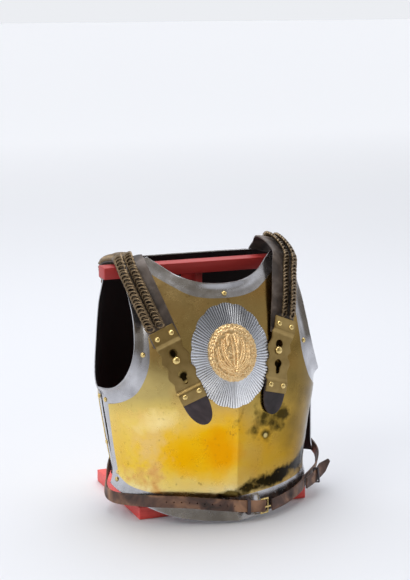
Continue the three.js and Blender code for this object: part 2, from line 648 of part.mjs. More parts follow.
const longBelt = beltRoute(LONG_BELT, LONG_END, 28);
const shortBelt = beltRoute(SHORT_BELT, SHORT_END, 26);
const beltTail = route(BELT_TAIL.map((place) => station(...place)), 12);
const tailHalf = (part) => BELT_HALF * Math.min(1, 0.3 + (1 - part) * 3);
addMesh('belt_long', ribbon(longBelt, 0, BELT.thick, BELT_HALF), LEATHER);
addMesh('belt_short', ribbon(shortBelt, 0, BELT.thick, BELT_HALF), LEATHER);
addMesh('belt_tail', ribbon(beltTail, 0, BELT.thick, tailHalf), LEATHER);

// A four sided loop. It runs round the opening that the first two axes span, each given with the
// opening's two edges along it, and is as wide as the third axis' edges say.
function fourSidedLoop(place, [first, second, third], [firstEdges, secondEdges, thirdEdges], thick) {
  const points = [];
  for (const [i, j] of [[0, 0], [1, 0], [1, 1], [0, 1]]) {
    for (const [edge, out] of [[0, 0], [1, 0], [1, thick], [0, thick]]) {
      points.push(place.clone()
        .addScaledVector(first, firstEdges[i] + (i ? out : -out))
        .addScaledVector(second, secondEdges[j] + (j ? out : -out))
        .addScaledVector(third, thirdEdges[edge]));
    }
  }
  const triangles = [];
  for (let corner = 0; corner < 4; corner += 1) {
    for (let k = 0; k < 4; k += 1) {
      const [a, b] = [corner * 4 + k, corner * 4 + ((k + 1) % 4)];
      const [c, d] = [(a + 4) % 16, (b + 4) % 16];
      triangles.push(a, b, d, a, d, c);
    }
  }
  return meshFrom(points, triangles);
}

// Axes of a piece that sits on the belt: up, along the belt and out of its face.
function beltAxes({ face }) {
  const out = face.clone().normalize();
  const along = new THREE.Vector3(0, 0, 1).cross(out).normalize();
  return [out.clone().cross(along), out, along];
}

const KEEPER = { thick: 1.6, half_length: 3, room: 1.6 };
const keeperRound = (place, layers) => {
  const [up, out, along] = beltAxes(place);
  const { room, half_length: long, thick } = KEEPER;
  const edges = [[-BELT_HALF - room, BELT_HALF + room], [-room, layers + room], [-long, long]];
  return fourSidedLoop(place.place, [up, out, along], edges, thick);
};
addMesh('belt_keeper_front', keeperRound(beltAt([16, -140, 29]), BELT.thick), DARK_LEATHER);
addMesh('belt_keeper_side', keeperRound(station(...BELT_TAIL[2]), BELT.thick), DARK_LEATHER);

const BUCKLE = { half_height: 11, half_length: 6, bar: 2.6, thick: 2.4 };
const buckleAt = beltAt([50, -135.5, 23.5]);
const [buckleUp, buckleOut, buckleAlong] = beltAxes(buckleAt);
const UNDER_BELT = -1.2; // the belt bends over the flat frame
addMesh('buckle_frame', fourSidedLoop(buckleAt.place, [buckleAlong, buckleUp, buckleOut],
  [[-BUCKLE.half_length, BUCKLE.half_length], [-BUCKLE.half_height, BUCKLE.half_height],
    [UNDER_BELT - BUCKLE.thick, UNDER_BELT]], BUCKLE.bar), BRASS_FINISH);

const TONGUE = { half_width: 1.3, thick: 1.6, from: -4, to: 8 };
const onTongue = (shift) => ({
  place: buckleAt.place.clone().addScaledVector(buckleAlong, shift),
  face: buckleOut,
});
const tongueLow = BELT.thick + GAP;
addMesh('buckle_tongue', ribbon([onTongue(TONGUE.from), onTongue(TONGUE.to)],
  tongueLow, tongueLow + TONGUE.thick, TONGUE.half_width), BRASS_FINISH);

for (const [side, [{ place, face }]] of Object.entries({ right: LONG_END, left: SHORT_END })) {
  strapRivet(`belt_rivet_${side}`, place.clone().addScaledVector(face, BELT.thick + 0.6), face);
}

export default assembly;
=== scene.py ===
# %% [markdown]
# # A brass faced cuirass on its stand
# A steel breastplate and backplate of the mid nineteenth century, each faced with thin brass
# and worn with chained shoulder straps and a leather belt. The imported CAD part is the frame:
# every piece made here lies on the same surfaces and is built from the same few numbers.
#
# Lengths are in millimetres until a mesh is filled. +X is the wearer's left, the chest faces -Y.

# %% The frame
import json
import math

import bpy
import numpy as np
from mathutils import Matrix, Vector

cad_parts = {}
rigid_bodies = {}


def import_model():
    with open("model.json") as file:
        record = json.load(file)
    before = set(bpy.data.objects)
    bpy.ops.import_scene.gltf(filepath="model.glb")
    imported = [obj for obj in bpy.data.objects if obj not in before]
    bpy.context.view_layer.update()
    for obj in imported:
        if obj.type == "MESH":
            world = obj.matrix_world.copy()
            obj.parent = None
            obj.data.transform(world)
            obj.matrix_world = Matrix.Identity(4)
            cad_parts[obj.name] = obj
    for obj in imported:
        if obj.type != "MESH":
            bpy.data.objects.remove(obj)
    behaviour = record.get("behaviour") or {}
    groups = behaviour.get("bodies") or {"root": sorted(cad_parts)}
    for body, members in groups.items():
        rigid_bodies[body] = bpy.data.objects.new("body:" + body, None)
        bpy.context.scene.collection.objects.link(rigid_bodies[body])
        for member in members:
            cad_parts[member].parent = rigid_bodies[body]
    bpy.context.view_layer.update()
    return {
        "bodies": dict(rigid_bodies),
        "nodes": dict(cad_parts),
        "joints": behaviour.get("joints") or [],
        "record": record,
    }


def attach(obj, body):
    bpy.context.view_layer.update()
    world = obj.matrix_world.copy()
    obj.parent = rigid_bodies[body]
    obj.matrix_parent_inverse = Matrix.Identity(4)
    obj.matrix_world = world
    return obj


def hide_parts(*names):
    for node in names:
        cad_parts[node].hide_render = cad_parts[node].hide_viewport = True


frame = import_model()
MM = 0.001
SIDES = ("right", "left")  # the wearer's
print("CAD nodes:", len(frame["nodes"]))

# %% [markdown]
# ## The shape of the body
# An armourer raises both plates over stakes until they follow the body: full and deep below, drawn
# in at the arms and neck, with a soft ridge down the middle of the chest. They could be sculpted.
# A table of levels was chosen, because straps, rivets and plaque can then ask it for their places.
# Each row is one level: its height, half width, where the side seam lies, how deep the plate is,
# how square its section is and, on the back, how far it sways to the wearer's left.

# %% Levels of the chest and the back
CHEST = np.array([
    (0, 163, 6, 128, 2.15, 0), (60, 170, 5, 127, 2.15, 0), (140, 180, 4, 129, 2.15, 0),
    (215, 191, 4, 128, 2.2, 0), (290, 188, 8, 120, 2.3, 0), (370, 176, 30, 105, 2.4, 0),
    (440, 166, 45, 66, 2.5, 0),
], float)
BACK = np.array([
    (30, 181, 10, 100, 2.2, 23), (60, 184, 10, 102, 2.2, 20), (140, 191, 10, 106, 2.2, 12),
    (215, 195, 10, 110, 2.2, 6), (300, 191, 12, 106, 2.2, 4), (360, 186, 16, 98, 2.2, 3),
    (400, 181, 20, 78, 2.3, 1), (425, 177, 20, 46, 2.4, 0), (445, 174, 18, 14, 2.5, 0),
], float)
KEEL_RISE, KEEL_HALF = 5, 70
print("levels:", len(CHEST), "on the chest and", len(BACK), "on the back")


# %% Reading between the levels
def read_levels(table, z):
    """Each column of the table at the heights z, on a smooth curve through its levels."""
    heights = table[:, 0]
    steps = np.diff(heights)
    rises = np.diff(table, axis=0) / steps[:, None]
    slopes = np.vstack([rises[:1], rises[:-1] * 0, rises[-1:]])
    below, above = steps[:-1, None], steps[1:, None]
    slopes[1:-1] = (rises[:-1] * above + rises[1:] * below) / (below + above)
    z = np.clip(z, heights[0], heights[-1])
    i = np.clip(np.searchsorted(heights, z, side="right") - 1, 0, len(steps) - 1)
    span = steps[i][:, None]
    t = (z - heights[i])[:, None] / span
    a, b = table[i], table[i + 1]
    start, end = slopes[i] * span, slopes[i + 1] * span
    row = a + t * start + t**2 * (3 * (b - a) - 2 * start - end) + t**3 * (2 * (a - b) + start + end)
    return row.T[1:]


print("half width of the chest at 200:", read_levels(CHEST, np.array([200.0]))[0].round(1))


# %% A plate's skin, by the turn round the body and the height
def keel(x):
    return KEEL_RISE * np.maximum(0, 1 - np.abs(x) / KEEL_HALF) ** 2


def skin(back, turn, z):
    """Points of a plate at angles round the body and heights."""
    half, side, depth, square, sway = read_levels(BACK if back else CHEST, z)
    sine, cosine = np.sin(np.radians(turn)), np.cos(np.radians(turn))
    x = half * np.sign(sine) * np.abs(sine) ** (2 / square)
    out = depth * np.sign(cosine) * np.abs(cosine) ** (2 / square)
    y = side + out if back else side - out - keel(x)
    return np.stack([x + sway, y, z], axis=1)


def unit(vectors):
    return vectors / np.linalg.norm(vectors, axis=-1, keepdims=True)


def skin_normal(back, turn, z):
    wide = skin(back, turn + 1, z) - skin(back, turn - 1, z)
    tall = skin(back, turn, z + 1) - skin(back, turn, z - 1)
    return unit(np.cross(wide, tall)) * (-1 if back else 1)


print("middle of the back at 200:", skin(True, np.array([0.0]), np.array([200.0]))[0].round(1))


# %% A plate's places, by the distance across and the height
def plate_point(back, x, z):
    half, side, depth, square, sway = read_levels(BACK if back else CHEST, z)
    part = np.minimum(np.abs(x - sway) / half, 0.999)
    out = depth * (1 - part**square) ** (1 / square)
    return np.stack([x, side + out if back else side - out - keel(x), z], axis=1)


def plate_facing(back, x, z):
    wide = plate_point(back, x + 3, z) - plate_point(back, x - 3, z)
    tall = plate_point(back, x, z + 3) - plate_point(back, x, z - 3)
    return unit(np.cross(wide, tall)) * (-1 if back else 1)


def on_plate(back, x, z, lift=0.0):
    """One place lifted off a plate, and the direction that it faces."""
    x, z = np.array([float(x)]), np.array([float(z)])
    face = plate_facing(back, x, z)
    return (plate_point(back, x, z) + face * lift)[0], face[0]


print("chest point:", on_plate(False, 0, 200)[0].round(1))

# %% [markdown]
# ## Smooth runs
# Leather and sheet bend in one smooth sweep between the places that hold them. Blender's curves
# could give that sweep. It is worked out here in equal steps instead, so that a strip can be bent
# along it point by point, and a chain's links spaced by their true pitch.


# %% A smooth run through chosen places
def smooth_run(places, steps, faces=None):
    """Places at equal steps along a smooth curve, and the faces between those given."""
    places = np.array(places, float)
    ends = np.vstack([2 * places[0] - places[1], places, 2 * places[-1] - places[-2]])
    knots = np.concatenate([[0], np.cumsum(np.linalg.norm(np.diff(ends, axis=0), axis=1) ** 0.5)])
    last = len(places) - 1
    samples = np.linspace(0, last, last * 24 + 1)
    span = np.minimum(samples.astype(int), last - 1)
    t = (knots[span + 1] + (samples - span) * (knots[span + 2] - knots[span + 1]))[:, None]
    k = [knots[span + i][:, None] for i in range(4)]
    p = [ends[span + i] for i in range(4)]

    def between(i, j, a, b):
        return (k[j] - t) / (k[j] - k[i]) * a + (t - k[i]) / (k[j] - k[i]) * b

    a1, a2, a3 = between(0, 1, p[0], p[1]), between(1, 2, p[1], p[2]), between(2, 3, p[2], p[3])
    curve = between(1, 2, between(0, 2, a1, a2), between(1, 3, a2, a3))
    length = np.concatenate([[0], np.cumsum(np.linalg.norm(np.diff(curve, axis=0), axis=1))])
    even = np.linspace(0, length[-1], steps + 1)
    run = np.stack([np.interp(even, length, column) for column in curve.T], axis=1)
    if faces is None:
        return run
    part = (samples - span)[:, None]
    faces = np.array(faces, float)
    looks = faces[span] * (1 - part) + faces[span + 1] * part
    return run, unit(np.stack([np.interp(even, length, column) for column in looks.T], axis=1))


def run_of(stations, steps=160):
    """A run through stations, each a place and a face: places, faces, sideways and its length."""
    places, faces = smooth_run([s[0] for s in stations], steps, [s[1] for s in stations])
    along = np.gradient(places, axis=0)
    sideways = unit(np.cross(along, faces))
    return places, faces, sideways, np.linalg.norm(np.diff(places, axis=0), axis=1).sum()


print("a run's middle:", smooth_run([(0, 0, 0), (10, 0, 0), (10, 10, 0)], 4)[2].round(2))

# %% [markdown]
# ## Colours and nodes
# A colour picked on a screen is sRGB, while shaders reckon in linear light, so one function turns each
# hex code. Nodes could be dragged about in the editor. Here one function adds a node, fills its inputs
# and gives back the output that the next node reads, so that each finish reads as a short recipe.

# %% Colours and nodes
def linear(code):
    parts = [int(code[i : i + 2], 16) / 255 for i in (1, 3, 5)]
    return (*[c / 12.92 if c <= 0.04045 else ((c + 0.055) / 1.055) ** 2.4 for c in parts], 1)


def fill(tree, node, **settings):
    """A setting is an input, by its identifier with _ for spaces, or else a property of the node."""
    inputs = {socket.identifier.replace(" ", "_"): socket for socket in node.inputs}
    for name, value in settings.items():
        if name not in inputs:
            setattr(node, name, value)
        elif isinstance(value, bpy.types.NodeSocket):
            tree.links.new(value, inputs[name])
        else:
            inputs[name].default_value = linear(value) if isinstance(value, str) else value


def add(tree, kind, out=0, stops=(), **settings):
    """A node with its settings and links, and a ramp's stops. Gives back one of its outputs."""
    node = tree.nodes.new("ShaderNode" + kind)
    fill(tree, node, **settings)
    if stops:
        elements = node.color_ramp.elements
        while len(elements) < len(stops):
            elements.new(0.5)
        for element, (position, color) in zip(elements, stops):
            element.position = position
            element.color = linear(color) if isinstance(color, str) else (color, color, color, 1)
    return node.outputs[out]


print("gold in linear light:", [round(c, 3) for c in linear("#d8b04a")])


# %% Pattern sizes and new materials
def marks(size):
    """The scale of a noise whose marks are about so many millimetres across."""
    return 1 / (size * MM)


def new_material(name, color, roughness, metallic=0.0):
    """A material with its shader, and the Object coordinates that its patterns read."""
    material = bpy.data.materials.new(name)
    material.use_nodes = True
    tree = material.node_tree
    shader = tree.nodes["Principled BSDF"]
    fill(tree, shader, Base_Color=color, Roughness=roughness, Metallic=metallic)
    return material, tree, shader, add(tree, "TexCoord", out="Object")


print("a noise of 2 mm marks has the scale", marks(2))

# %% [markdown]
# ### Facing brass
# The facings are brass of about two thirds copper and one third zinc, rolled thin and polished: pale
# gold, with soft reflections. Finger marks and damp leave orange bloom, and deeper tarnish is olive
# to nearly black. It could be painted on by hand. Ovals whose edges a noise makes ragged were chosen,
# because each stain is then one row of numbers in the same millimetres as the plates. Some ovals are
# painted reflections, a painted glint and painted shade instead, and the colour is painted paler low
# down and duller above, as the floor and the darker room are mirrored, and duller on the wearer's
# left, as painted shade.

# %% Stains, painted reflections and painted shade on the brass
# Each oval: its centre, its reach along each axis, its colour, then how ragged its edge is, the
# size of the raggedness, and how soft it is.
STAINS_AND_PAINTED_LIGHT = [
    # Painted reflection and painted highlight: the first six are bright yellow low on the wearer's right
    # and pale along that side, where the brass mirrors the bright floor and the lights.
    ((-70, -130, 128), (124, 90, 74), "#f7bd14", 0.4, 71.4, 0.6),
    ((-84, -130, 110), (50, 60, 40), "#f7b608", 0.6, 50, 0.9),
    ((-24, -130, 128), (46, 60, 42), "#f5a808", 0.6, 50, 0.9),
    ((-134, -70, 140), (36, 80, 70), "#f0c874", 0.8, 25, 0.9),
    ((-128, -85, 172), (36, 60, 26), "#ffe49a", 0.8, 45.45, 0.9),
    ((-140, -80, 80), (26, 60, 26), "#e2ac62", 1.0, 16.667, 0.9),
    # Painted shade: a broad dull olive patch over the wearer's left side.
    ((160, -50, 130), (104, 110, 150), "#6c5d38", 0.4, 83.3, 0.9),
    ((50, -117, 162), (44, 40, 24), "#5c5026", 0.8, 27.78, 0.6),
    ((80, -112, 172), (30, 40, 18), "#5c5026", 0.8, 25, 0.7),
    ((54, -117, 143), (12, 40, 11), "#5e5226", 0.4, 25, 0.6),
    # Painted highlight: a small pale glint in the middle of the dent.
    ((56, -118, 141), (5, 40, 5), "#fff0b0", 0.05, 16.667, 0.5),
    # A dark band along the lower edge of the facing, darkest towards the wearer's left.
    ((-12, -130, 48), (42, 40, 7), "#6a5a2e", 0.7, 25, 0.6),
    ((26, -130, 54), (40, 40, 10), "#3d341a", 0.7, 27.78, 0.5),
    ((56, -122, 60), (38, 40, 12), "#2f2916", 0.7, 29.41, 0.45),
    ((86, -110, 67), (38, 40, 15), "#241f12", 0.6, 33.33, 0.45),
    ((116, -90, 73), (38, 50, 17), "#241f12", 0.6, 35.71, 0.45),
    ((142, -68, 79), (30, 50, 18), "#241f12", 0.6, 35.71, 0.45),
]
# Painted shade: the facing behind the hook plates' four keyholes is darkened, as the depth of each hole
# lies in shade.
KEYHOLE_SHADE = [((-100, -110, 290), 9, 9), ((-86, -115, 253), 8, 10), ((83, -112, 291), 9, 9),
                  ((78, -118, 257), 8, 10)]
for centre, wide, tall in KEYHOLE_SHADE:
    STAINS_AND_PAINTED_LIGHT.append((centre, (wide, 30, tall), "#241c0e", 0.3, 16.667, 0.4))


def ragged_oval(tree, place, centre, reach, ragged, size, soft):
    """1 inside a ragged oval round a centre, 0 outside."""
    shift = add(tree, "VectorMath", operation="SUBTRACT", Vector=place, Vector_001=Vector(centre) * MM)
    scaled = add(tree, "VectorMath", operation="MULTIPLY", Vector=shift,
                 Vector_001=[1 / (r * MM) for r in reach])
    length = add(tree, "VectorMath", out="Value", operation="LENGTH", Vector=scaled)
    rough = add(tree, "TexNoise", Vector=place, Scale=marks(size), Detail=8)
    wander = add(tree, "Math", operation="MULTIPLY_ADD", Value=rough, Value_001=4 * ragged,
                 Value_002=-2 * ragged)
    edge = add(tree, "Math", operation="ADD", Value=length, Value_001=wander)
    return add(tree, "ValToRGB", Fac=edge, stops=[(1 - soft, 1.0), (1.0, 0.0)])


print("stains:", len(STAINS_AND_PAINTED_LIGHT))

# %% Facing brass
def brass_facing():
    """Painted reflection: pale at its foot, yellowest at 100 mm and duller above, where the brass would
    mirror the bright floor low down and the darker room higher up. Painted shade makes it duller on the
    wearer's left.
    """
    material, tree, shader, place = new_material("polished_brass", "#e2bf48", 0.2, 1.0)
    # Painted reflection: the colour by height stands for the bright floor mirrored low down and the darker
    # room mirrored above.
    height = add(tree, "SeparateXYZ", out="Z", Vector=place)
    across = add(tree, "SeparateXYZ", out="X", Vector=place)
    wander = add(tree, "TexNoise", Vector=place, Scale=marks(90.91), Detail=4)
    wander = add(tree, "Math", operation="MULTIPLY_ADD", Value=wander, Value_001=0.07, Value_002=-0.035)
    level = add(tree, "Math", operation="ADD", Value=height, Value_001=wander)
    level = add(tree, "Math", operation="MULTIPLY", Value=level, Value_001=2.5)
    color = add(tree, "ValToRGB", Fac=level, stops=[
        (0.1, "#f4e8ba"), (0.17, "#f3d880"), (0.25, "#f6cc3e"), (0.45, "#f2d26e"), (0.56, "#c4ae6c"),
        (1.0, "#cdb27a"),
    ])
    bloom = add(tree, "TexNoise", Vector=place, Scale=marks(111.1), Detail=5, Distortion=0.6)
    bloom = add(tree, "ValToRGB", Fac=bloom, stops=[(0.5, 0.0), (0.8, 0.7)])
    color = add(tree, "Mix", out=2, data_type="RGBA", Factor_Float=bloom, A_Color=color, B_Color="#d9a862")
    # Real stains, painted reflections, a painted highlight and painted shade, one oval of the table at a
    # time.
    for centre, reach, tint, *edge in STAINS_AND_PAINTED_LIGHT:
        oval_mask = ragged_oval(tree, place, centre, reach, *edge)
        color = add(tree, "Mix", out=2, data_type="RGBA", Factor_Float=oval_mask, A_Color=color, B_Color=tint)
    # Painted shade: the wearer's left half, beyond the ridge down the chest, is multiplied darker to stand
    # for the shade that falls there.
    aside = add(tree, "Math", operation="ADD", Value=across, Value_001=0.5)
    aside = add(tree, "ValToRGB", Fac=aside, stops=[(0.5, 0.0), (0.503, 0.55), (0.6, 1.0)])
    dull = add(tree, "Mix", out=2, data_type="RGBA", blend_type="MULTIPLY", Factor_Float=0.8,
               A_Color=color, B_Color="#a8966c")
    color = add(tree, "Mix", out=2, data_type="RGBA", Factor_Float=aside, A_Color=color, B_Color=dull)
    # Freckles of tarnish 7 mm across, then rubbed patches, then the slow waves that hammering left.
    freckles = add(tree, "TexNoise", Vector=place, Scale=marks(6.667), Detail=8)
    freckles = add(tree, "ValToRGB", Fac=freckles, stops=[(0.62, 0.0), (0.74, 0.5)])
    color = add(tree, "Mix", out=2, data_type="RGBA", Factor_Float=freckles, A_Color=color,
                B_Color="#8a6a30")
    wear = add(tree, "TexNoise", Vector=place, Scale=marks(18.18), Detail=8)
    wear = add(tree, "ValToRGB", Fac=wear, stops=[(0.3, 0.16), (0.75, 0.32)])
    waves = add(tree, "TexNoise", Vector=place, Scale=marks(71.43), Detail=2)
    waves = add(tree, "Bump", Height=waves, Strength=0.2, Distance=0.003)
    fill(tree, shader, Base_Color=color, Roughness=wear, Normal=waves)
    return material


POLISHED = brass_facing()
print("facing brass:", len(POLISHED.node_tree.nodes), "nodes")

# %% [markdown]
# ### Steel and silvering
# The plates are wrought steel, burnished by hand, so fine scratches run every way and old rust has
# left faint brown clouds. A picture of scratches could be laid over them. A noise was chosen, since
# it has no seams, and one noise drives both gloss and bump, as a real scratch changes both. The
# plaque's silvering is painted whiter low down and greyer towards the top: a painted reflection of
# the bright floor below and the darker room above. Dirt lies between its rays: an attribute that the
# mesh carries tells the shader where.

# %% Burnished steel and silvered rays
def burnished_steel():
    """Real scratches are hundredths of a millimetre wide. These start at 11 mm, so that they show."""
    material, tree, shader, place = new_material("burnished_steel", "#a9a9ad", 0.22, 1.0)
    cloud = add(tree, "TexNoise", Vector=place, Scale=marks(62.5), Detail=6, Distortion=0.4)
    cloud = add(tree, "ValToRGB", Fac=cloud, stops=[(0.35, "#a5a4a7"), (0.65, "#d2d2d6")])
    rust = add(tree, "TexNoise", Vector=place, Scale=marks(23.81), Detail=9, Distortion=0.8)
    rust = add(tree, "ValToRGB", Fac=rust, stops=[(0.6, 0.0), (0.8, 0.3)])
    color = add(tree, "Mix", out=2, data_type="RGBA", Factor_Float=rust, A_Color=cloud, B_Color="#6b625a")
    scratch = add(tree, "TexNoise", Vector=place, Scale=marks(11.11), Detail=8)
    gloss = add(tree, "ValToRGB", Fac=scratch, stops=[(0.3, 0.18), (0.7, 0.3)])
    groove = add(tree, "Bump", Height=scratch, Strength=0.04, Distance=0.0006)
    fill(tree, shader, Base_Color=color, Roughness=gloss, Normal=groove)
    return material


def silvered_rays():
    """The rubbed patches are 11 mm and the sheet's grit 4 mm, coarser than real, so that they show."""
    material, tree, shader, place = new_material("silvered_rays", "#d4d8de", 0.3, 1.0)
    # Painted reflection: whiter low down, where the rays mirror the bright floor, and greyer towards the
    # top, where they mirror the darker room.
    height = add(tree, "SeparateXYZ", out="Z", Vector=place)
    level = add(tree, "Math", operation="MULTIPLY_ADD", Value=height, Value_001=6.0, Value_002=-1.17)
    shade = add(tree, "ValToRGB", Fac=level, stops=[(0.0, "#ffffff"), (0.45, "#eef1f8"), (1.0, "#84868c")])
    hollow = add(tree, "Attribute", out="Fac", attribute_name="hollow")
    color = add(tree, "Mix", out=2, data_type="RGBA", Factor_Float=hollow, A_Color=shade, B_Color="#3a3c44")
    gloss = add(tree, "TexNoise", Vector=place, Scale=marks(11.11), Detail=6)
    gloss = add(tree, "ValToRGB", Fac=gloss, stops=[(0.3, 0.24), (0.7, 0.4)])
    grit = add(tree, "TexNoise", Vector=place, Scale=marks(3.846), Detail=4)
    grit = add(tree, "Bump", Height=grit, Strength=0.1, Distance=0.0006)
    fill(tree, shader, Base_Color=color, Roughness=gloss, Normal=grit)
    return material


STEEL = burnished_steel()
SILVERED = silvered_rays()
print("made", STEEL.name, "and", SILVERED.name)

# %% [markdown]
# ### Castings, hook plates, studs and links
# The medallion is cast bronze, fire gilt: a soft, warm glow without sharp reflections. The hook
# plates are rolled brass that has toned to a dull brown gold, and the studs and rivets are brass kept
# bright by handling. The links are drawn brass wire, nearly black between, where grease has set. All
# are dark in their hollows, where no cloth reaches. Dirt could be painted in. Pointiness finds the
# hollows on any mesh, so one recipe serves all four.

# %% Metals that are dark in their hollows
def cast_metal(name, color, deep, roughness, spot):
    """Spots of dirt so many millimetres across, and a grain of a third of that, so that it shows."""
    material, tree, shader, place = new_material(name, color, roughness, 1.0)
    hollow = add(tree, "NewGeometry", out="Pointiness")
    shade = add(tree, "ValToRGB", Fac=hollow, stops=[(0.42, deep), (0.52, color)])
    dirt = add(tree, "TexNoise", Vector=place, Scale=marks(spot), Detail=6)
    dirt = add(tree, "ValToRGB", Fac=dirt, stops=[(0.4, 0.0), (0.7, 1.0)])
    dirt = add(tree, "Math", operation="MULTIPLY", Value=dirt, Value_001=0.45)
    shade = add(tree, "Mix", out=2, data_type="RGBA", Factor_Float=dirt, A_Color=shade, B_Color=deep)
    grain = add(tree, "TexNoise", Vector=place, Scale=marks(spot / 3), Detail=4)
    grain = add(tree, "Bump", Height=grain, Strength=0.2, Distance=0.001)
    fill(tree, shader, Base_Color=shade, Normal=grain)
    return material


GILT = cast_metal("gilt_relief", "#ffe2ae", "#cf9448", 0.38, 3.333)
HOOK_BRASS = cast_metal("aged_brass", "#b09763", "#836c40", 0.36, 14.29)
STUD_BRASS = cast_metal("rivet_brass", "#f0d590", "#9a7f42", 0.22, 5)
CHAIN_BRASS = cast_metal("chain_brass", "#86735a", "#241b12", 0.36, 4.545)
print("made", GILT.name, HOOK_BRASS.name, STUD_BRASS.name, CHAIN_BRASS.name)

# %% [markdown]
# ### Leather
# Bridle leather is curried with grease and dyed through, so its cut edges are as dark as its face. It
# scuffs paler on raised places and shines where hands have rubbed it. Scuffs could be painted on
# each strap. Noises serve every strap alike: a broad one for scuffs, and a fine one for the grain,
# which is drawn about three times too coarse, so that it shows. The plates are painted black inside.

# %% Leathers and the black lining
def leather(name, color, worn, dark, shine):
    """Scuffs are about 38 mm across, shiny patches 25 mm and the grain 1.4 mm."""
    material, tree, shader, place = new_material(name, color, 0.5)
    scuffs = add(tree, "TexNoise", Vector=place, Scale=marks(38.46), Detail=12, Distortion=0.8)
    scuffs = add(tree, "ValToRGB", Fac=scuffs, stops=[(0.34, dark), (0.5, color), (0.7, worn)])
    gloss = add(tree, "TexNoise", Vector=place, Scale=marks(25), Detail=5)
    gloss = add(tree, "ValToRGB", Fac=gloss, stops=[(0.3, shine), (0.75, 0.68)])
    grain = add(tree, "TexNoise", Vector=place, Scale=marks(1.429), Detail=6)
    grain = add(tree, "Bump", Height=grain, Strength=0.35, Distance=0.0006)
    fill(tree, shader, Base_Color=scuffs, Roughness=gloss, Normal=grain)
    return material


def black_lining():
    """Lampblack paint, brushed on: matt, and so dark that the hollow shows no form."""
    material, tree, shader, place = new_material("black_lining", "#150f10", 0.85)
    brushed = add(tree, "TexNoise", Vector=place, Scale=marks(2), Detail=6)
    fill(tree, shader, Normal=add(tree, "Bump", Height=brushed, Strength=0.1, Distance=0.001))
    return material


BELT_LEATHER = leather("belt_leather", "#5e4236", "#a67c5e", "#2c1f1b", 0.38)
STRAP_LEATHER = leather("strap_leather", "#4c413a", "#7a6e66", "#2b2421", 0.36)
TIP_LEATHER = leather("tip_leather", "#33292d", "#4a3e42", "#1e181b", 0.42)
LINING = black_lining()
print("made", BELT_LEATHER.name, STRAP_LEATHER.name, TIP_LEATHER.name, LINING.name)

# %% [markdown]
# ### Red paint
# The stand's pine has one thin coat of red oil paint, so the wood's grain still shows as streaks and
# shallow ridges. The grain could be drawn line by line. A noise stretched along the boards gives the
# same look with two nodes. The coat is painted a darker red higher up, on the post and the bar under
# the shoulders, as painted shade, while the base, which stands out in the light, keeps the bright coat.

# %% Red paint
STREAK = (41.67, 6.25, 4.167)  # how long, how wide and how tall


def red_paint():
    """The wood's ridges are a little under half the size of the paint's streaks."""
    material, tree, shader, place = new_material("red_paint", "#d8322f", 0.45)
    streaks = add(tree, "Mapping", Vector=place, Scale=[marks(size) for size in STREAK])
    coat = add(tree, "TexNoise", Vector=streaks, Scale=1, Detail=6)
    coat = add(tree, "ValToRGB", Fac=coat, stops=[(0.3, "#e04440"), (0.6, "#ee5650"), (0.85, "#f56c64")])
    # Painted shade: above 0.2 m, on the post and the bar, the coat is mixed towards a darker red; the base
    # keeps the bright coat.
    height = add(tree, "SeparateXYZ", out="Z", Vector=place)
    painted_shade_above = add(tree, "ValToRGB", Fac=height, stops=[(0.1, 0.0), (0.2, 0.8)])
    shade = add(tree, "Mix", out=2, data_type="RGBA", Factor_Float=painted_shade_above, A_Color=coat, B_Color="#a02624")
    ridges = add(tree, "TexNoise", Vector=streaks, Scale=2.25, Detail=8)
    ridges = add(tree, "Bump", Height=ridges, Strength=0.3, Distance=0.001)
    fill(tree, shader, Base_Color=shade, Normal=ridges)
    return material


RED = red_paint()
print("made", RED.name)

# %% [markdown]
# ## Making meshes
# Pieces start as Blender primitives. Their vertices could be dragged about in edit mode. Here a
# formula says where each one goes, and operators then weld, face and smooth them, so that a piece
# fits the plate under it to a fraction of a millimetre.


# %% Points, modifiers and edit mode
def points_of(piece):
    flat = np.empty(len(piece.data.vertices) * 3)
    piece.data.vertices.foreach_get("co", flat)
    return flat.reshape(-1, 3)


def set_points(piece, points):
    piece.data.vertices.foreach_set("co", (points * MM).ravel())
    piece.data.update()


def choose(piece):
    """Operators act on all that is selected, so one piece alone is selected and made active."""
    bpy.ops.object.select_all(action="DESELECT")
    bpy.context.view_layer.objects.active = piece
    piece.select_set(True)


def apply_modifier(piece, kind, **settings):
    choose(piece)
    modifier = piece.modifiers.new(kind.lower(), kind)
    for name, value in settings.items():
        setattr(modifier, name, value)
    bpy.ops.object.modifier_apply(modifier=modifier.name)


def edit(piece, *steps):
    """Edit-mode operators run on the whole piece, each given as a function."""
    choose(piece)
    bpy.ops.object.mode_set(mode="EDIT")
    bpy.ops.mesh.select_all(action="SELECT")
    for step in steps:
        step()
    bpy.ops.object.mode_set(mode="OBJECT")


print("still selected after loading:", len(bpy.context.selected_objects))


# %% Welding, facing out and smoothing
def weld(distance=1e-6):
    bpy.ops.mesh.remove_doubles(threshold=distance)


def face_out():
    bpy.ops.mesh.normals_make_consistent(inside=False)


def smooth(piece, angle=40):
    choose(piece)
    bpy.ops.object.shade_smooth_by_angle(angle=math.radians(angle))


# %% Dressing, grids and copies
def dress(piece, slot, nodes, *materials):
    """Gives a finished piece its materials and says which CAD nodes it stands for."""
    for material in materials:
        piece.data.materials.append(material)
    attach(piece, "root")
    if nodes:
        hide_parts(*nodes)


def grid(name, columns, rows):
    bpy.ops.mesh.primitive_grid_add(x_subdivisions=columns, y_subdivisions=rows, size=1)
    piece = bpy.context.object
    piece.name = name
    return piece


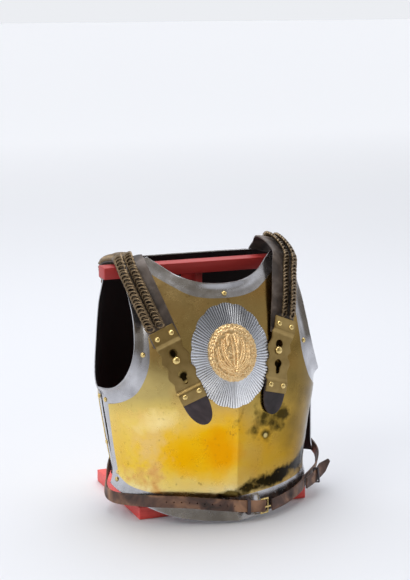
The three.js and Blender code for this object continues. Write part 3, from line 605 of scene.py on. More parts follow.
def repeat_mesh(name, template, frames):
    """Copies of a template mesh, one for each place with its three axes, as one piece."""
    shape = points_of(template) / MM
    faces = [tuple(p.vertices) for p in template.data.polygons]
    points, polygons = [], []
    for place, axes in frames:
        shift = len(points) * len(shape)
        points.append(shape @ np.array(axes) + np.array(place))
        polygons += [tuple(v + shift for v in face) for face in faces]
    mesh = bpy.data.meshes.new(name)
    mesh.from_pydata((np.vstack(points) * MM).tolist(), [], polygons)
    piece = bpy.data.objects.new(name, mesh)
    bpy.context.collection.objects.link(piece)
    return piece


def remove(*pieces):
    for piece in pieces:
        bpy.data.objects.remove(piece)


# %% [markdown]
# ## Breastplate and backplate
# Each plate is sheet steel, with its edges turned outwards to stiffen them, and a thinner sheet of
# brass pinned over it. It could be a cage of a few faces, pulled into shape and subdivided. Its
# edges are drawn instead, as [turn, height] points from the middle of the bottom up to the middle
# of the neck, because the brass ends on a line that has to be right. The plate is a wheel of points
# from a hub out to that line, and on to the rim.

# %% Edges of the plates and their facings
CHEST_RIM = {
    "bottom": [(0, 4), (18, 8), (36, 16), (54, 30), (74, 44), (88, 52)],
    "side": [(88, 52), (88, 136), (88, 220)],
    "arm": [(88, 220), (80, 222), (70, 227), (62, 240), (56, 262), (52.5, 290), (52, 321),
            (53.5, 352), (57.5, 378), (62, 402), (66, 417)],
    "shoulder": [(66, 417), (52, 425), (38, 436)],
    "neck": [(38, 436), (30, 424), (21, 408), (12, 396), (6, 391), (0, 389.5)],
}
CHEST_FACING = {
    "bottom": [(0, 43), (18, 46), (36, 50), (54, 54), (68, 60), (79, 72)],
    "side": [(79, 72), (81, 136), (79, 196)],
    "arm": [(79, 196), (70, 201), (61, 209), (53, 222), (47, 245), (43.5, 272), (43, 300),
            (44.5, 342), (49, 380), (53, 398), (55, 408)],
    "shoulder": [(55, 408), (50, 412), (42, 416)],
    "neck": [(42, 416), (35, 407), (25, 392), (15, 377), (7, 371.5), (0, 370.5)],
}
BACK_RIM = {
    "bottom": [(0, 34), (30, 38), (60, 50), (90, 62)],
    "side": [(90, 62), (90, 140), (90, 214)],
    "arm": [(90, 214), (84, 221), (78, 238), (73, 270), (70, 310), (67, 355), (65, 388), (66, 411)],
    "shoulder": [(66, 411), (52, 415), (38, 423)],
    "neck": [(38, 423), (28, 424.5), (18, 424), (8, 423.7), (0, 423.5)],
}
BACK_FACING = {
    "bottom": [(0, 60), (30, 64), (60, 73), (81, 84)],
    "side": [(81, 84), (82, 140), (80, 192)],
    "arm": [(80, 192), (75, 202), (69, 222), (63, 262), (60.5, 305), (58, 350), (57, 380), (57, 396)],
    "shoulder": [(57, 396), (50, 399), (43, 404)],
    "neck": [(43, 404), (32, 406), (20, 404), (9, 402.5), (0, 402)],
}
EDGES = {False: (CHEST_RIM, CHEST_FACING), True: (BACK_RIM, BACK_FACING)}
print("edges drawn:", 2 * len(EDGES), "of", len(CHEST_RIM), "parts each")

# %% Turned out edges, thicknesses and the dent
LIPS = {  # how high each edge turns out, and over what width
    False: {"bottom": (8, 34), "arm": (8, 13), "neck": (10, 15)},
    True: {"bottom": (4, 24), "arm": (5, 11), "neck": (6, 12)},
}
LIP_FADE = {"arm": (345, 400), "neck": (380, 412)}
LIP_REST = 0.1
STEPS = {"bottom": 42, "side": 20, "arm": 56, "shoulder": 12, "neck": 40}
HUB_Z, HUB_TURN, HUB_TALL = 228, 17, 48
CHEST_STEEL, BACK_STEEL, BRASS, GAP = 2.5, 1.8, 0.8, 0.3
DENT = (np.array([55, -118, 143]), 9, 1.6)  # where, how wide, how deep
print("steel:", CHEST_STEEL, "and", BACK_STEEL, "thick, brass:", BRASS)


# %% Whole edges and how high they turn out
def whole_edge(edge):
    flat = [np.column_stack([edge[part], np.zeros(len(edge[part]))]) for part in STEPS]
    half = np.vstack([smooth_run(line, count)[:-1, :2] for line, count in zip(flat, STEPS.values())])
    top = [(0, edge["neck"][-1][1])]
    return np.vstack([half, top, half[:0:-1] * (-1, 1), half[:1]])


def distance_to(line, points):
    best = np.full(len(points), np.inf)
    for a, b in zip(line[:-1], line[1:]):
        t = np.clip((points - a) @ (b - a) / max((b - a) @ (b - a), 1e-9), 0, 1)
        best = np.minimum(best, np.linalg.norm(points - a - t[:, None] * (b - a), axis=1))
    return best


def smoothstep(value, low, high):
    t = np.clip((value - low) / (high - low), 0, 1)
    return t * t * (3 - 2 * t)


def lip_height(back, points):
    """How far the turned out edges raise each point of a plate."""
    height = np.zeros(len(points))
    for part, (rise, width) in LIPS[back].items():
        edge = np.column_stack([EDGES[back][0][part], np.zeros(len(EDGES[back][0][part]))])
        line = smooth_run(edge, 24)
        fade = 1.0
        if part in LIP_FADE:
            fade = 1 - smoothstep(points[:, 2], *LIP_FADE[part]) * (1 - LIP_REST)
        for sign in (1, -1):
            near = np.clip(1 - distance_to(skin(back, sign * line[:, 0], line[:, 1]), points) / width, 0, 1)
            height = np.maximum(height, rise * near**2 * fade)
    return height


print("points round a plate:", len(whole_edge(CHEST_RIM)))


# %% A plate or its facing
def plate_sheet(name, back, whole, lift, thickness, rows, outside, inside):
    """A plate or its facing: a wheel of points, thickened inwards, with a material each side."""
    rim, facing = (whole_edge(edge) for edge in EDGES[back])
    angle = (np.linspace(0, 1, len(facing)) - 0.25) * 2 * math.pi
    hub = np.column_stack([HUB_TURN * np.cos(angle), HUB_Z + HUB_TALL * np.sin(angle)])
    rings = [hub * part + np.array([0, HUB_Z]) * (1 - part) for part in np.linspace(0, 1, rows[0])[:-1]]
    rings += [hub * (1 - part) + facing * part for part in np.linspace(0, 1, rows[1])]
    if whole:
        rings += [facing * (1 - part) + rim * part for part in np.linspace(0, 1, rows[2])[1:]]
    piece = grid(name, len(facing) - 1, len(rings) - 1)
    place = points_of(piece)
    column = np.rint((place[:, 0] + 0.5) * (len(facing) - 1)).astype(int)
    column = column if back else len(facing) - 1 - column
    row = np.rint((place[:, 1] + 0.5) * (len(rings) - 1)).astype(int)
    turn, z = np.array(rings)[row, column].T
    bare = skin(back, turn, z)
    raised = lip_height(back, bare)
    if not back:
        near = np.linalg.norm(bare - DENT[0], axis=1) / DENT[1]
        raised -= DENT[2] * np.exp(-near**2)
    set_points(piece, bare + skin_normal(back, turn, z) * (raised + lift)[:, None])
    edit(piece, weld)
    piece.data.materials.append(outside)
    piece.data.materials.append(inside)
    apply_modifier(piece, "SOLIDIFY", thickness=thickness * MM, offset=-1, material_offset=1)
    edit(piece, face_out)
    return piece


print("hub of the wheel:", HUB_Z, "up")

# %% Breastplate
breast = plate_sheet("breastplate_steel", False, True, 0, CHEST_STEEL, (8, 30, 14), STEEL, LINING)
apply_modifier(breast, "BEVEL", width=0.7 * MM, segments=2, limit_method="ANGLE", angle_limit=1.0)
smooth(breast)
dress(breast, "steel", ["breast_plate"])
facing = plate_sheet("breastplate_facing", False, False, GAP + BRASS, BRASS, (8, 30, 0), POLISHED, POLISHED)
smooth(facing)
dress(facing, "brass", ["breast_facing"])
print("breastplate:", len(breast.data.polygons), "faces")

# %% Backplate
backplate = plate_sheet("backplate_steel", True, True, 0, BACK_STEEL, (5, 20, 8), STEEL, LINING)
smooth(backplate)
dress(backplate, "steel", ["back_plate"])
back_facing = plate_sheet("backplate_facing", True, False, GAP + BRASS, BRASS, (5, 20, 0), POLISHED,
                          POLISHED)
smooth(back_facing)
dress(back_facing, "brass", ["back_facing"])
print("backplate:", len(backplate.data.polygons), "faces")

# %% [markdown]
# ## Stand
# The stand is a T of squared pine on a square base board: plain butt joints, edges eased with
# sandpaper. Bare cubes would look like plastic. Each block is a cube set to its size with a small
# round bevel, which catches the light as eased wood does.

# %% Stand
STAND = {
    "stand_base": ((-146, 160), (-60, 166), (0, 21)),
    "stand_post": ((-12, 0), (22, 94), (21, 397 - GAP)),
    "stand_crossbar": ((-178, 160), (14, 45), (397, 417)),
}


def block(name, spans, ease):
    low, high = np.array(spans, float).T
    bpy.ops.mesh.primitive_cube_add(size=1)
    piece = bpy.context.object
    piece.name = name
    set_points(piece, points_of(piece) * (high - low) + (low + high) / 2)
    apply_modifier(piece, "BEVEL", width=ease * MM, segments=3)
    smooth(piece)
    return piece


for name, spans in STAND.items():
    dress(block(name + "_wood", spans, 1.2), "red_paint", [name], RED)
print("stand blocks:", len(STAND))

# %% [markdown]
# ## Plaque
# The plaque is a thin silvered sheet, pressed over a die into a burst of fine rays with a scalloped
# edge. It could be cut from a disc by hand. A grid rolled up into a disc was chosen, because its
# columns run outwards as the rays do: one wave round it pleats them, and another scallops the edge.

# %% Sizes of the plaque and the medallion
ON_FACING = GAP + BRASS + GAP
PLAQUE = {"x": -4, "z": 280, "half_width": 69, "half_height": 83, "lobes": 16, "thick": 1.2}
PLAQUE_LIFT = ON_FACING + 0.8
PLAQUE_TOP = PLAQUE_LIFT + PLAQUE["thick"]
RAYS_PER_LOBE, POINTS_PER_RAY = 6, 8
MEDALLION = {"x": -3, "z": 286, "half_width": 42, "half_height": 45}
MEDALLION_BASE, MEDALLION_SWELL = PLAQUE_TOP + GAP, 2.6
print("plaque:", 2 * PLAQUE["half_width"], "x", 2 * PLAQUE["half_height"])


# %% A disc that follows the chest
def chest_disc(name, place, around, rows, edge_at, lift_at, depth):
    """A disc that follows the chest, its lift given by the part out and the angle."""
    piece = grid(name, around, rows)
    spot = points_of(piece)
    angle = -(spot[:, 0] + 0.5) * 2 * math.pi
    part = spot[:, 1] + 0.5
    reach = part * edge_at(angle)
    x = place["x"] + place["half_width"] * reach * np.cos(angle)
    z = place["z"] + place["half_height"] * reach * np.sin(angle)
    lift = lift_at(part, angle)
    set_points(piece, plate_point(False, x, z) + plate_facing(False, x, z) * lift[:, None])
    edit(piece, lambda: weld(2e-6))
    apply_modifier(piece, "SOLIDIFY", thickness=depth * MM, offset=-1)
    edit(piece, face_out)
    smooth(piece, 50)
    return piece


print("the chest behind the plaque faces", on_plate(False, PLAQUE["x"], PLAQUE["z"])[1].round(2))


# %% Sunburst
def scallop(angle):
    return 0.97 + 0.03 * np.abs(np.cos(angle * PLAQUE["lobes"] / 2)) ** 0.7


def ray_wave(angle):
    return np.abs(np.sin(angle * PLAQUE["lobes"] * RAYS_PER_LOBE / 2))


def pleats(part, angle):
    grow = smoothstep(part, 0.35, 0.6)
    return PLAQUE_TOP - 0.2 + grow * (1.4 * ray_wave(angle) - 0.4) - 0.3 * smoothstep(part, 0.93, 1.0)


def mark_hollows(piece):
    """Dirt lies in the folds between the rays: a value at each point for the material."""
    p = points_of(piece) / MM
    angle = np.arctan2((p[:, 2] - PLAQUE["z"]) / PLAQUE["half_height"],
                       (p[:, 0] - PLAQUE["x"]) / PLAQUE["half_width"])
    depth = 1 - smoothstep(ray_wave(angle), 0.02, 0.42)
    piece.data.attributes.new("hollow", "FLOAT", "POINT").data.foreach_set("value", depth)


AROUND = PLAQUE["lobes"] * RAYS_PER_LOBE * POINTS_PER_RAY
rays = chest_disc("sunburst", PLAQUE, AROUND, 14, scallop, pleats, 0.9)
mark_hollows(rays)
dress(rays, "silvered", ["plaque_rays"], SILVERED)
print("rays:", PLAQUE["lobes"] * RAYS_PER_LOBE)

# %% [markdown]
# ## Medallion
# The gilt casting is traditional foliage: three rings of laurel that point up the wreath, and inside
# them a palmette, whose bowed fronds spread from one foot. It could be sculpted as one piece. One
# leaf, a flattened drop with a midrib, is made and copied instead, because a chaser too finishes
# such foliage leaf by leaf. Small random turns keep it from looking stamped.


# %% One leaf, and its places on the medallion
def drop(name, length, width, height):
    """A leaf with a midrib: a ball squeezed to a point at one end."""
    bpy.ops.mesh.primitive_uv_sphere_add(segments=12, ring_count=9, radius=1)
    piece = bpy.context.object
    piece.name = name
    p = points_of(piece)[:, [2, 0, 1]]
    narrow = 1 - 0.75 * smoothstep(p[:, 0], -0.2, 1.0)
    rib = 0.35 * np.exp(-((p[:, 1] * 5) ** 2)) * (p[:, 2] > 0)
    p = np.column_stack([p[:, 0] * length, p[:, 1] * narrow * width, (p[:, 2] + rib) * narrow * height])
    set_points(piece, p)
    edit(piece, face_out)
    return piece


def on_medallion(part, angle, lift, heading, size=1.0):
    """A frame on the medallion: its first axis points along a heading from straight outwards."""
    x = MEDALLION["x"] + MEDALLION["half_width"] * part * math.cos(angle)
    z = MEDALLION["z"] + MEDALLION["half_height"] * part * math.sin(angle)
    place, face = on_plate(False, x, z, MEDALLION_BASE + 1.2 + MEDALLION_SWELL * (1 - part**2) + lift)
    way = angle + heading
    along = np.array([math.cos(way), 0, math.sin(way)])
    along = unit(along - face * (along @ face))
    return place, (along * size, np.cross(face, along) * size, face * size)


print("medallion:", 2 * MEDALLION["half_width"], "x", 2 * MEDALLION["half_height"])

# %% How the leaves are set out
# Each ring of the wreath: how many leaves, part out, lift, heading in degrees.
WREATH = [(44, 0.94, 0.0, 66), (44, 0.86, 0.4, 118), (40, 0.79, 0.5, 80)]
# Each frond: where its foot and tip are across and up the medallion, how far it bows, its leaves.
# The middle frond comes first, then five and their mirror images.
FRONDS = [((0.0, -0.62), (0.0, 0.66), 0.05, 17)]
SIDE_FRONDS = [
    ((0.04, -0.5), (0.34, 0.5), 0.16, 15), ((0.08, -0.55), (0.6, 0.22), 0.2, 15),
    ((0.1, -0.6), (0.62, -0.12), 0.16, 12), ((0.18, 0.3), (0.12, 0.66), 0.12, 7),
    ((0.12, -0.66), (0.44, -0.44), 0.05, 7),
]
for (foot, low), (tip, high), bow, count in SIDE_FRONDS:
    for side in (1, -1):
        FRONDS.append(((side * foot, low), (side * tip, high), side * bow, count))
drawing = np.random.default_rng(4)
print("rings:", len(WREATH), "fronds:", len(FRONDS))


# %% Wreath and fronds
def wreath_frames(count, part, lift, heading):
    """Leaves that point up both sides of the wreath from its foot."""
    frames = []
    for i in range(count):
        angle = 2 * math.pi * (i + drawing.uniform(-0.2, 0.2)) / count
        turned = math.radians(heading + drawing.uniform(-25, 25)) * (-1 if math.cos(angle) < 0 else 1)
        out = part + drawing.uniform(-0.025, 0.02)
        frames.append(on_medallion(out, angle, lift, turned, drawing.uniform(0.8, 1.15)))
    return frames


def frond_frames(foot, tip, bow, count):
    """Leaflets in pairs up both sides of a bowed stem, smaller towards its tip."""
    frames = []
    foot, tip = np.array(foot), np.array(tip)
    beside = np.array([tip[1] - foot[1], foot[0] - tip[0]])
    for i in range(2 * count):
        at = (i // 2 + 0.5) / count
        side = 1 if i % 2 else -1
        across, up = foot + (tip - foot) * at + beside * (4 * bow * at * (1 - at) + side * 0.045)
        way = tip - foot + beside * (4 * bow * (1 - 2 * at) + side * 0.5)
        angle = math.atan2(up, across)
        turned = math.atan2(way[1], way[0]) - angle + math.radians(drawing.uniform(-12, 12))
        lift = 1.0 - 0.5 * at + drawing.uniform(-0.2, 0.3)
        frames.append(on_medallion(math.hypot(across, up), angle, lift, turned, 1.1 - 0.35 * at))
    return frames


print("leaves in the wreath:", sum(ring[0] for ring in WREATH))


# %% The casting
def leaves(name, size, frames):
    leaf = drop("leaf", *size)
    piece = repeat_mesh(name, leaf, frames)
    smooth(piece, 60)
    dress(piece, "gilt", [], GILT)
    remove(leaf)


def casting(part, angle):
    """The ground swells, and crinkles as cast foliage does between its leaves."""
    across, up = part * np.cos(angle), part * np.sin(angle)
    crinkle = np.sin(23 * across + 5 * np.sin(11 * up)) * np.cos(19 * up + 4 * np.sin(13 * across))
    crinkle *= 0.7 * smoothstep(1 - part, 0.0, 0.1)
    return MEDALLION_BASE + 1.9 + MEDALLION_SWELL * (1 - part**2) + crinkle


ground = chest_disc("medallion_ground", MEDALLION, 160, 44, lambda a: 1 + 0.012 * np.cos(a * 34),
                    casting, 1.8)
dress(ground, "gilt", ["plaque_medallion"], GILT)
for number, ring in enumerate(WREATH):
    leaves(f"wreath_leaves_{number + 1}", (4.2, 2.2, 1.3), wreath_frames(*ring))
leaves("fronds", (4.0, 2.0, 1.5), [frame for frond in FRONDS for frame in frond_frames(*frond)])
print("leaves:", sum(ring[0] for ring in WREATH) + 2 * sum(frond[3] for frond in FRONDS))

# %% [markdown]
# ## Strips laid along runs
# Straps, hook plates and the belt start as flat leather and sheet in the workshop. They could be
# modelled bent. They are made flat, lengthwise along X, and then laid on a run, because steps and
# holes are easy to place at true sizes while a piece is flat.


# %% Flat strips
def strip(name, length, half_at, low_at, thickness, columns, rows, ease=0.5, droop=0.0):
    """A flat strip: its half width and underside are functions of the part along it."""
    piece = grid(name, columns, rows)
    spot = points_of(piece)
    part, over = spot[:, 0] + 0.5, spot[:, 1] * 2
    top = low_at(part) + thickness - droop * smoothstep(np.abs(over), 0.72, 1.0)
    flat = np.column_stack([part * length, over * half_at(part), top])
    set_points(piece, flat)
    apply_modifier(piece, "SOLIDIFY", thickness=thickness * MM, offset=-1)
    edit(piece, face_out)
    apply_modifier(piece, "BEVEL", width=ease * MM, segments=2, limit_method="ANGLE", angle_limit=0.9)
    return piece


print("clear of the facing:", round(ON_FACING, 1))


# %% Laying a strip on a run
def lay(piece, run):
    """Bends a flat piece along a run: X goes along it, Y sideways and Z out of its face."""
    places, faces, sideways, length = run
    flat = points_of(piece) / MM
    at = flat[:, 0] / length * (len(places) - 1)
    i = np.clip(at.astype(int), 0, len(places) - 2)
    t = (at - i)[:, None]
    place, face, aside = (v[i] * (1 - t) + v[i + 1] * t for v in (places, faces, sideways))
    set_points(piece, place + aside * flat[:, 1:2] + unit(face) * flat[:, 2:])
    return piece


def cut(piece, cutter):
    apply_modifier(piece, "BOOLEAN", object=cutter, operation="DIFFERENCE", solver="EXACT")
    remove(cutter)


def frame_on(run, along, aside, lift):
    """A place on a run with its axes: along, sideways and out."""
    places, faces, sideways, length = run
    i = int(round(along / length * (len(places) - 1)))
    forward = unit(places[min(i + 1, len(places) - 1)] - places[max(i - 1, 0)])
    place = places[i] + sideways[i] * aside + faces[i] * lift
    return place, (forward, -sideways[i], faces[i])


print("top of the plaque:", round(PLAQUE_TOP, 1), "off the plate")

# %% [markdown]
# ### Shoulder straps
# Each strap is black harness leather about 49 mm wide, which goes from its hook plate up over the
# shoulder and down to the backplate. Cloth simulation could drape it. Harness leather is stiff and
# held at both ends, so a smooth run through a few places gives its true lie, and its long edges
# droop a little, as worn ones do.

# %% Where the straps lie
STRAP_WIDTH, STRAP_FOOT, STRAP_THICK, HOOK_THICK = 49, 47, 2.4, 1.6
STRAP_LOW = PLAQUE_TOP + 0.5
STRAP_TOP = STRAP_LOW + STRAP_THICK
OVER_SHOULDER = {
    "right": [(-107, 306, 0.6), (-112, 322, 1), (-124, 362, 6), (-134, 400, 8), (-137, 412, 8)],
    "left": [(92, 306, 0.6), (95, 322, 1), (105, 362, 6), (117, 400, 8), (123, 420, 10)],
}
CREST = {  # each place with the way that the strap faces there
    "right": [((-139, 2, 427), (-0.3, 0, 1)), ((-132, 36, 421.5), (-0.06, 0.3, 1))],
    "left": [((127, 26, 443), (0.2, 0, 1))],
}
DOWN_BACK = {
    "right": [(-133, 402, 15.5), (-130, 382, 8), (-125, 352, 4), (-118, 312, 2)],
    "left": [(134, 424, 7), (132, 402, 6), (125, 355, 4), (118, 312, 2)],
}
print("underside of a strap:", round(STRAP_LOW, 1), "off the plate")


# %% Shoulder straps
def strap_run(side):
    front = [on_plate(False, *spot) for spot in OVER_SHOULDER[side]]
    crest = [(np.array(place, float), unit(np.array(face, float))) for place, face in CREST[side]]
    return run_of([*front, *crest, *[on_plate(True, *spot) for spot in DOWN_BACK[side]]])


def strap_half(part):
    wide = smoothstep(np.minimum(part, 1 - part), 0.02, 0.2)
    return (STRAP_FOOT + (STRAP_WIDTH - STRAP_FOOT) * wide) / 2


strap_runs = {side: strap_run(side) for side in SIDES}
for side in SIDES:
    run = strap_runs[side]
    flat = strip("strap_leather_" + side, run[3], strap_half, lambda part: part * 0 + STRAP_LOW,
                 STRAP_THICK, 110, 16, droop=1.2)
    smooth(lay(flat, run))
    dress(flat, "leather", ["shoulder_strap_" + side], STRAP_LEATHER)
print("strap lengths:", [round(strap_runs[side][3]) for side in SIDES])

# %% [markdown]
# ### Chains
# Each strap carries two rows of curb chain. Its links are ovals of drawn brass wire, all twisted the
# same way round the run, each through the next two, and stitched down to the leather. An array along
# a curve could repeat them, but it bends each link. One link is modelled and copied to each place
# instead, so that every link stays a true oval.

# %% One link, and how it is twisted
LINK_PITCH, LINK_LONG, LINK_WIDE, LINK_WIRE = 6.2, 5.4, 7.4, 1.6  # half sizes after the pitch
LINK_TWIST, LINK_TILT, LINK_SLANT = 20, 30, 0.35
CHAIN_ASIDE = {"outer": 0.335, "inner": -0.01}  # share of the strap's width, away from the neck
CHAIN_SPAN = (2 / 22, 20 / 22)  # clear of the front and rear rivets
CHAIN_LIFT, CHAIN_REACH = 4.2, 1.5


def wire_link():
    bpy.ops.mesh.primitive_torus_add(major_segments=18, minor_segments=7, major_radius=1,
                                     minor_radius=LINK_WIRE / LINK_LONG)
    link = bpy.context.object
    stretch = np.array([LINK_LONG, LINK_WIDE, LINK_LONG])
    set_points(link, points_of(link) * stretch)
    return link


def twisted(frame_at, mirror):
    """A link's frame: slanted across the row, tipped like a roof tile and twisted."""
    place, (along, aside, out) = frame_at
    along, aside = unit(along + aside * LINK_SLANT * mirror), unit(aside - along * LINK_SLANT * mirror)
    c, s = math.cos(math.radians(LINK_TILT)), math.sin(math.radians(LINK_TILT))
    along, out = along * c + out * s, out * c - along * s
    c, s = math.cos(math.radians(LINK_TWIST)), math.sin(math.radians(LINK_TWIST)) * mirror
    return place, (along, aside * c + out * s, out * c - aside * s)


print("a link is", 2 * LINK_LONG, "x", 2 * LINK_WIDE, "to the middle of its wire")

# %% Curb chains
for side in SIDES:
    run = strap_runs[side]
    outward = 1 if side == "left" else -1
    for row, share in CHAIN_ASIDE.items():
        link = wire_link()
        first, last = (run[3] * part for part in CHAIN_SPAN)
        stops = np.arange(first - CHAIN_REACH, last - LINK_LONG, LINK_PITCH)
        frames = [twisted(frame_on(run, stop, outward * share * STRAP_WIDTH, STRAP_TOP + CHAIN_LIFT),
                          outward) for stop in stops]
        chain = repeat_mesh(f"chain_links_{side}_{row}", link, frames)
        smooth(chain, 60)
        dress(chain, "chain_brass", [f"chain_{side}_{row}"], CHAIN_BRASS)
        remove(link)
print("links in a row:", len(stops))

# %% [markdown]
# ### Hook plates and leather tips
# A hook plate has two keyholes: its round end passes a stud's head, its slot holds the neck. The
# plate steps up over the leather at both ends, where it is riveted through. The holes could be cut
# in the bent plate. They are cut while it is flat, as with a punch, and it is bent afterwards.

# %% Where the hook plates and tips lie
HOOK_RUN = {
    "right": [(-114, 326, 1.8), (-107, 308, 1.2), (-96, 279), (-86, 252), (-75, 226), (-70, 214)],
    "left": [(99, 327, 3.2), (93, 309, 3.2), (82, 279), (78, 252), (72, 226), (69, 214)],
}
TIP_RUN = {
    "right": [(-78, 233), (-70, 214), (-60, 194), (-50, 176)],
    "left": [(74, 233), (69, 214), (66, 196), (64, 178)],
}
KEYHOLES = {"right": [(-100, 290), (-88, 257)], "left": [(83.5, 291), (78.5, 260)]}
KEYHOLE_ROUND, KEYHOLE_SLOT, KEYHOLE_LONG = 7, 3.8, 13
HOOK_TOP, HOOK_FOOT, HOOK_CLEAR = 0.2, 0.83, 1.5
HOOK_HALF, HOOK_WAVE, TIP_HALF = 21.5, 2.5, 21
TIP_CURL = {"right": 4.0, "left": 1.0}
print("keyholes:", sum(len(spots) for spots in KEYHOLES.values()))


# %% Outlines of hook plates and tips
def hook_low(part):
    on_strap = 1 - smoothstep(part, HOOK_TOP - 0.03, HOOK_TOP + 0.03)
    on_tip = smoothstep(part, HOOK_FOOT - 0.03, HOOK_FOOT + 0.03)
    return STRAP_LOW + (STRAP_THICK + HOOK_CLEAR) * np.maximum(on_strap, on_tip)


def hook_half(part):
    middle = np.clip((part - HOOK_TOP) / (HOOK_FOOT - HOOK_TOP), 0, 1)
    return HOOK_HALF + HOOK_WAVE * np.cos(middle * 6 * math.pi) * np.sin(middle * math.pi) ** 0.5


def tip_half(part):
    rest = np.maximum(0, (part - 0.35) / 0.65)
    return TIP_HALF * np.sqrt(np.maximum(0.003, 1 - rest**2.2))


print("a hook plate is about", 2 * HOOK_HALF, "wide")


# %% Keyholes
def cylinder(radius, depth, place, sides=32):
    bpy.ops.mesh.primitive_cylinder_add(vertices=sides, radius=1, depth=1)
    piece = bpy.context.object
    set_points(piece, points_of(piece) * (radius, radius, depth) + np.array(place))
    return piece


def cut_keyhole(piece, x, y):
    """A round hole with a slot that runs on from it towards the plate's foot."""
    cut(piece, cylinder(KEYHOLE_ROUND, 40, (x, y, 0)))
    cut(piece, cylinder(KEYHOLE_SLOT, 40, (x + KEYHOLE_LONG, y, 0)))
    slot = ((x, x + KEYHOLE_LONG), (y - KEYHOLE_SLOT, y + KEYHOLE_SLOT), (-20, 20))
    cut(piece, block("slot", slot, 0.01))


def flat_spot(run, place):
    """Where a place lies on a run that is laid flat: how far along, and how far aside."""
    places, _, sideways, length = run
    i = int(np.argmin(np.linalg.norm(places - place, axis=1)))
    return i / (len(places) - 1) * length, (place - places[i]) @ sideways[i]


print("a keyhole is", KEYHOLE_ROUND + KEYHOLE_LONG + KEYHOLE_SLOT, "long")

# %% Hook plates and tips
hook_runs = {side: run_of([on_plate(False, *spot) for spot in HOOK_RUN[side]]) for side in SIDES}
for side in SIDES:
    run = hook_runs[side]
    flat = strip("hook_brass_" + side, run[3], hook_half, hook_low, HOOK_THICK, 90, 16, 0.35)
    for x, z in KEYHOLES[side]:
        cut_keyhole(flat, *flat_spot(run, on_plate(False, x, z)[0]))
    smooth(lay(flat, run), 35)
    dress(flat, "brass", ["hook_plate_" + side], HOOK_BRASS)
    tip_run = run_of([on_plate(False, *spot) for spot in TIP_RUN[side]])
    tip = strip("tip_leather_" + side, tip_run[3], tip_half,
                lambda part: STRAP_LOW + TIP_CURL[side] * smoothstep(part, 0.5, 1.0), STRAP_THICK, 40, 12)
    smooth(lay(tip, tip_run))
    dress(tip, "dark_leather", ["strap_tip_" + side], TIP_LEATHER)
print("hook plate lengths:", [round(hook_runs[side][3]) for side in SIDES])

# %% [markdown]
# ## Rivets and studs
# Rivets are hammered over into low domes. The studs are turned in a lathe, with a button head on a
# thin neck. Each could be placed by hand. One head is made and copied to every place, turned to
# face straight out of the plate, since a crooked rivet would catch the light wrongly.


# %% Domes, and a frame that stands on a plate
def dome(radius, height):
    bpy.ops.mesh.primitive_uv_sphere_add(segments=20, ring_count=12, radius=1)
    piece = bpy.context.object
    p = points_of(piece)
    set_points(piece, np.column_stack([p[:, :2] * radius, np.maximum(p[:, 2], -0.05) * height]))
    return piece


def standing(place, face):
    across = unit(np.cross(face, (0.3, 0.2, 1.0)))
    return place, (across, np.cross(face, across), face)


def rivets(name, slot, nodes, radius, height, frames, material):
    head = dome(radius, height)
    piece = repeat_mesh(name, head, frames)
    smooth(piece, 60)
    dress(piece, slot, nodes, material)
    remove(head)


print("across a head that faces forwards:", standing(0, np.array([0, -1.0, 0]))[1][0].round(2))

# %% Border rivets
BORDER_RIVETS = {  # the height of the middle one, then the turn and height of each pair
    "breast_rivet": (False, 378, [(47.5, 287), (83, 201), (80, 75), (81, 62)]),
    "backplate_rivet": (True, 412, [(62, 330), (85, 198), (84, 116)]),
}
BORDER_HEAD, HOOK_HEAD, STRAP_HEAD = (4.3, 2.6), (4.8, 3.4), (4.8, 3.2)  # radius and height
for name, (back, middle, pairs) in BORDER_RIVETS.items():
    spots = [(0, middle)] + [(side * turn, z) for turn, z in pairs for side in (1, -1)]
    turn, z = np.array(spots, float).T
    bare, faces = skin(back, turn, z), skin_normal(back, turn, z)
    places = bare + faces * (lip_height(back, bare) + GAP)[:, None]
    frames = [standing(place, face) for place, face in zip(places, faces)]
    nodes = [f"{name}_{i + 1}" for i in range(len(spots))]
    rivets(name + "_heads", "brass", nodes, *BORDER_HEAD, frames, STUD_BRASS)
    print(name, "heads:", len(frames))

# %% Strap rivets
HOOK_RIVET_SHARE = {"top": 0.1, "foot": 0.9}  # share of the run
BACK_RIVET_SHARE, HOOK_ASIDE, BACK_ASIDE = 21 / 22, 12.5, 13
for side in SIDES:
    run = hook_runs[side]
    lift = STRAP_TOP + HOOK_CLEAR + HOOK_THICK
    frames = [frame_on(run, run[3] * share, aside, lift) for share in HOOK_RIVET_SHARE.values()
              for aside in (-HOOK_ASIDE, HOOK_ASIDE)]
    nodes = [f"hook_rivet_{side}_{end}_{i}" for end in HOOK_RIVET_SHARE for i in (1, 2)]
    rivets("hook_rivets_" + side, "brass", nodes, *HOOK_HEAD, frames, STUD_BRASS)
    run = strap_runs[side]
    frames = [frame_on(run, run[3] * BACK_RIVET_SHARE, aside, STRAP_TOP)
              for aside in (-BACK_ASIDE, BACK_ASIDE)]
    nodes = [f"back_rivet_{side}_{i}" for i in (1, 2)]
    rivets("back_rivets_" + side, "brass", nodes, *STRAP_HEAD, frames, STUD_BRASS)
print("strap rivets:", len(SIDES) * (len(HOOK_RIVET_SHARE) + 1) * 2)

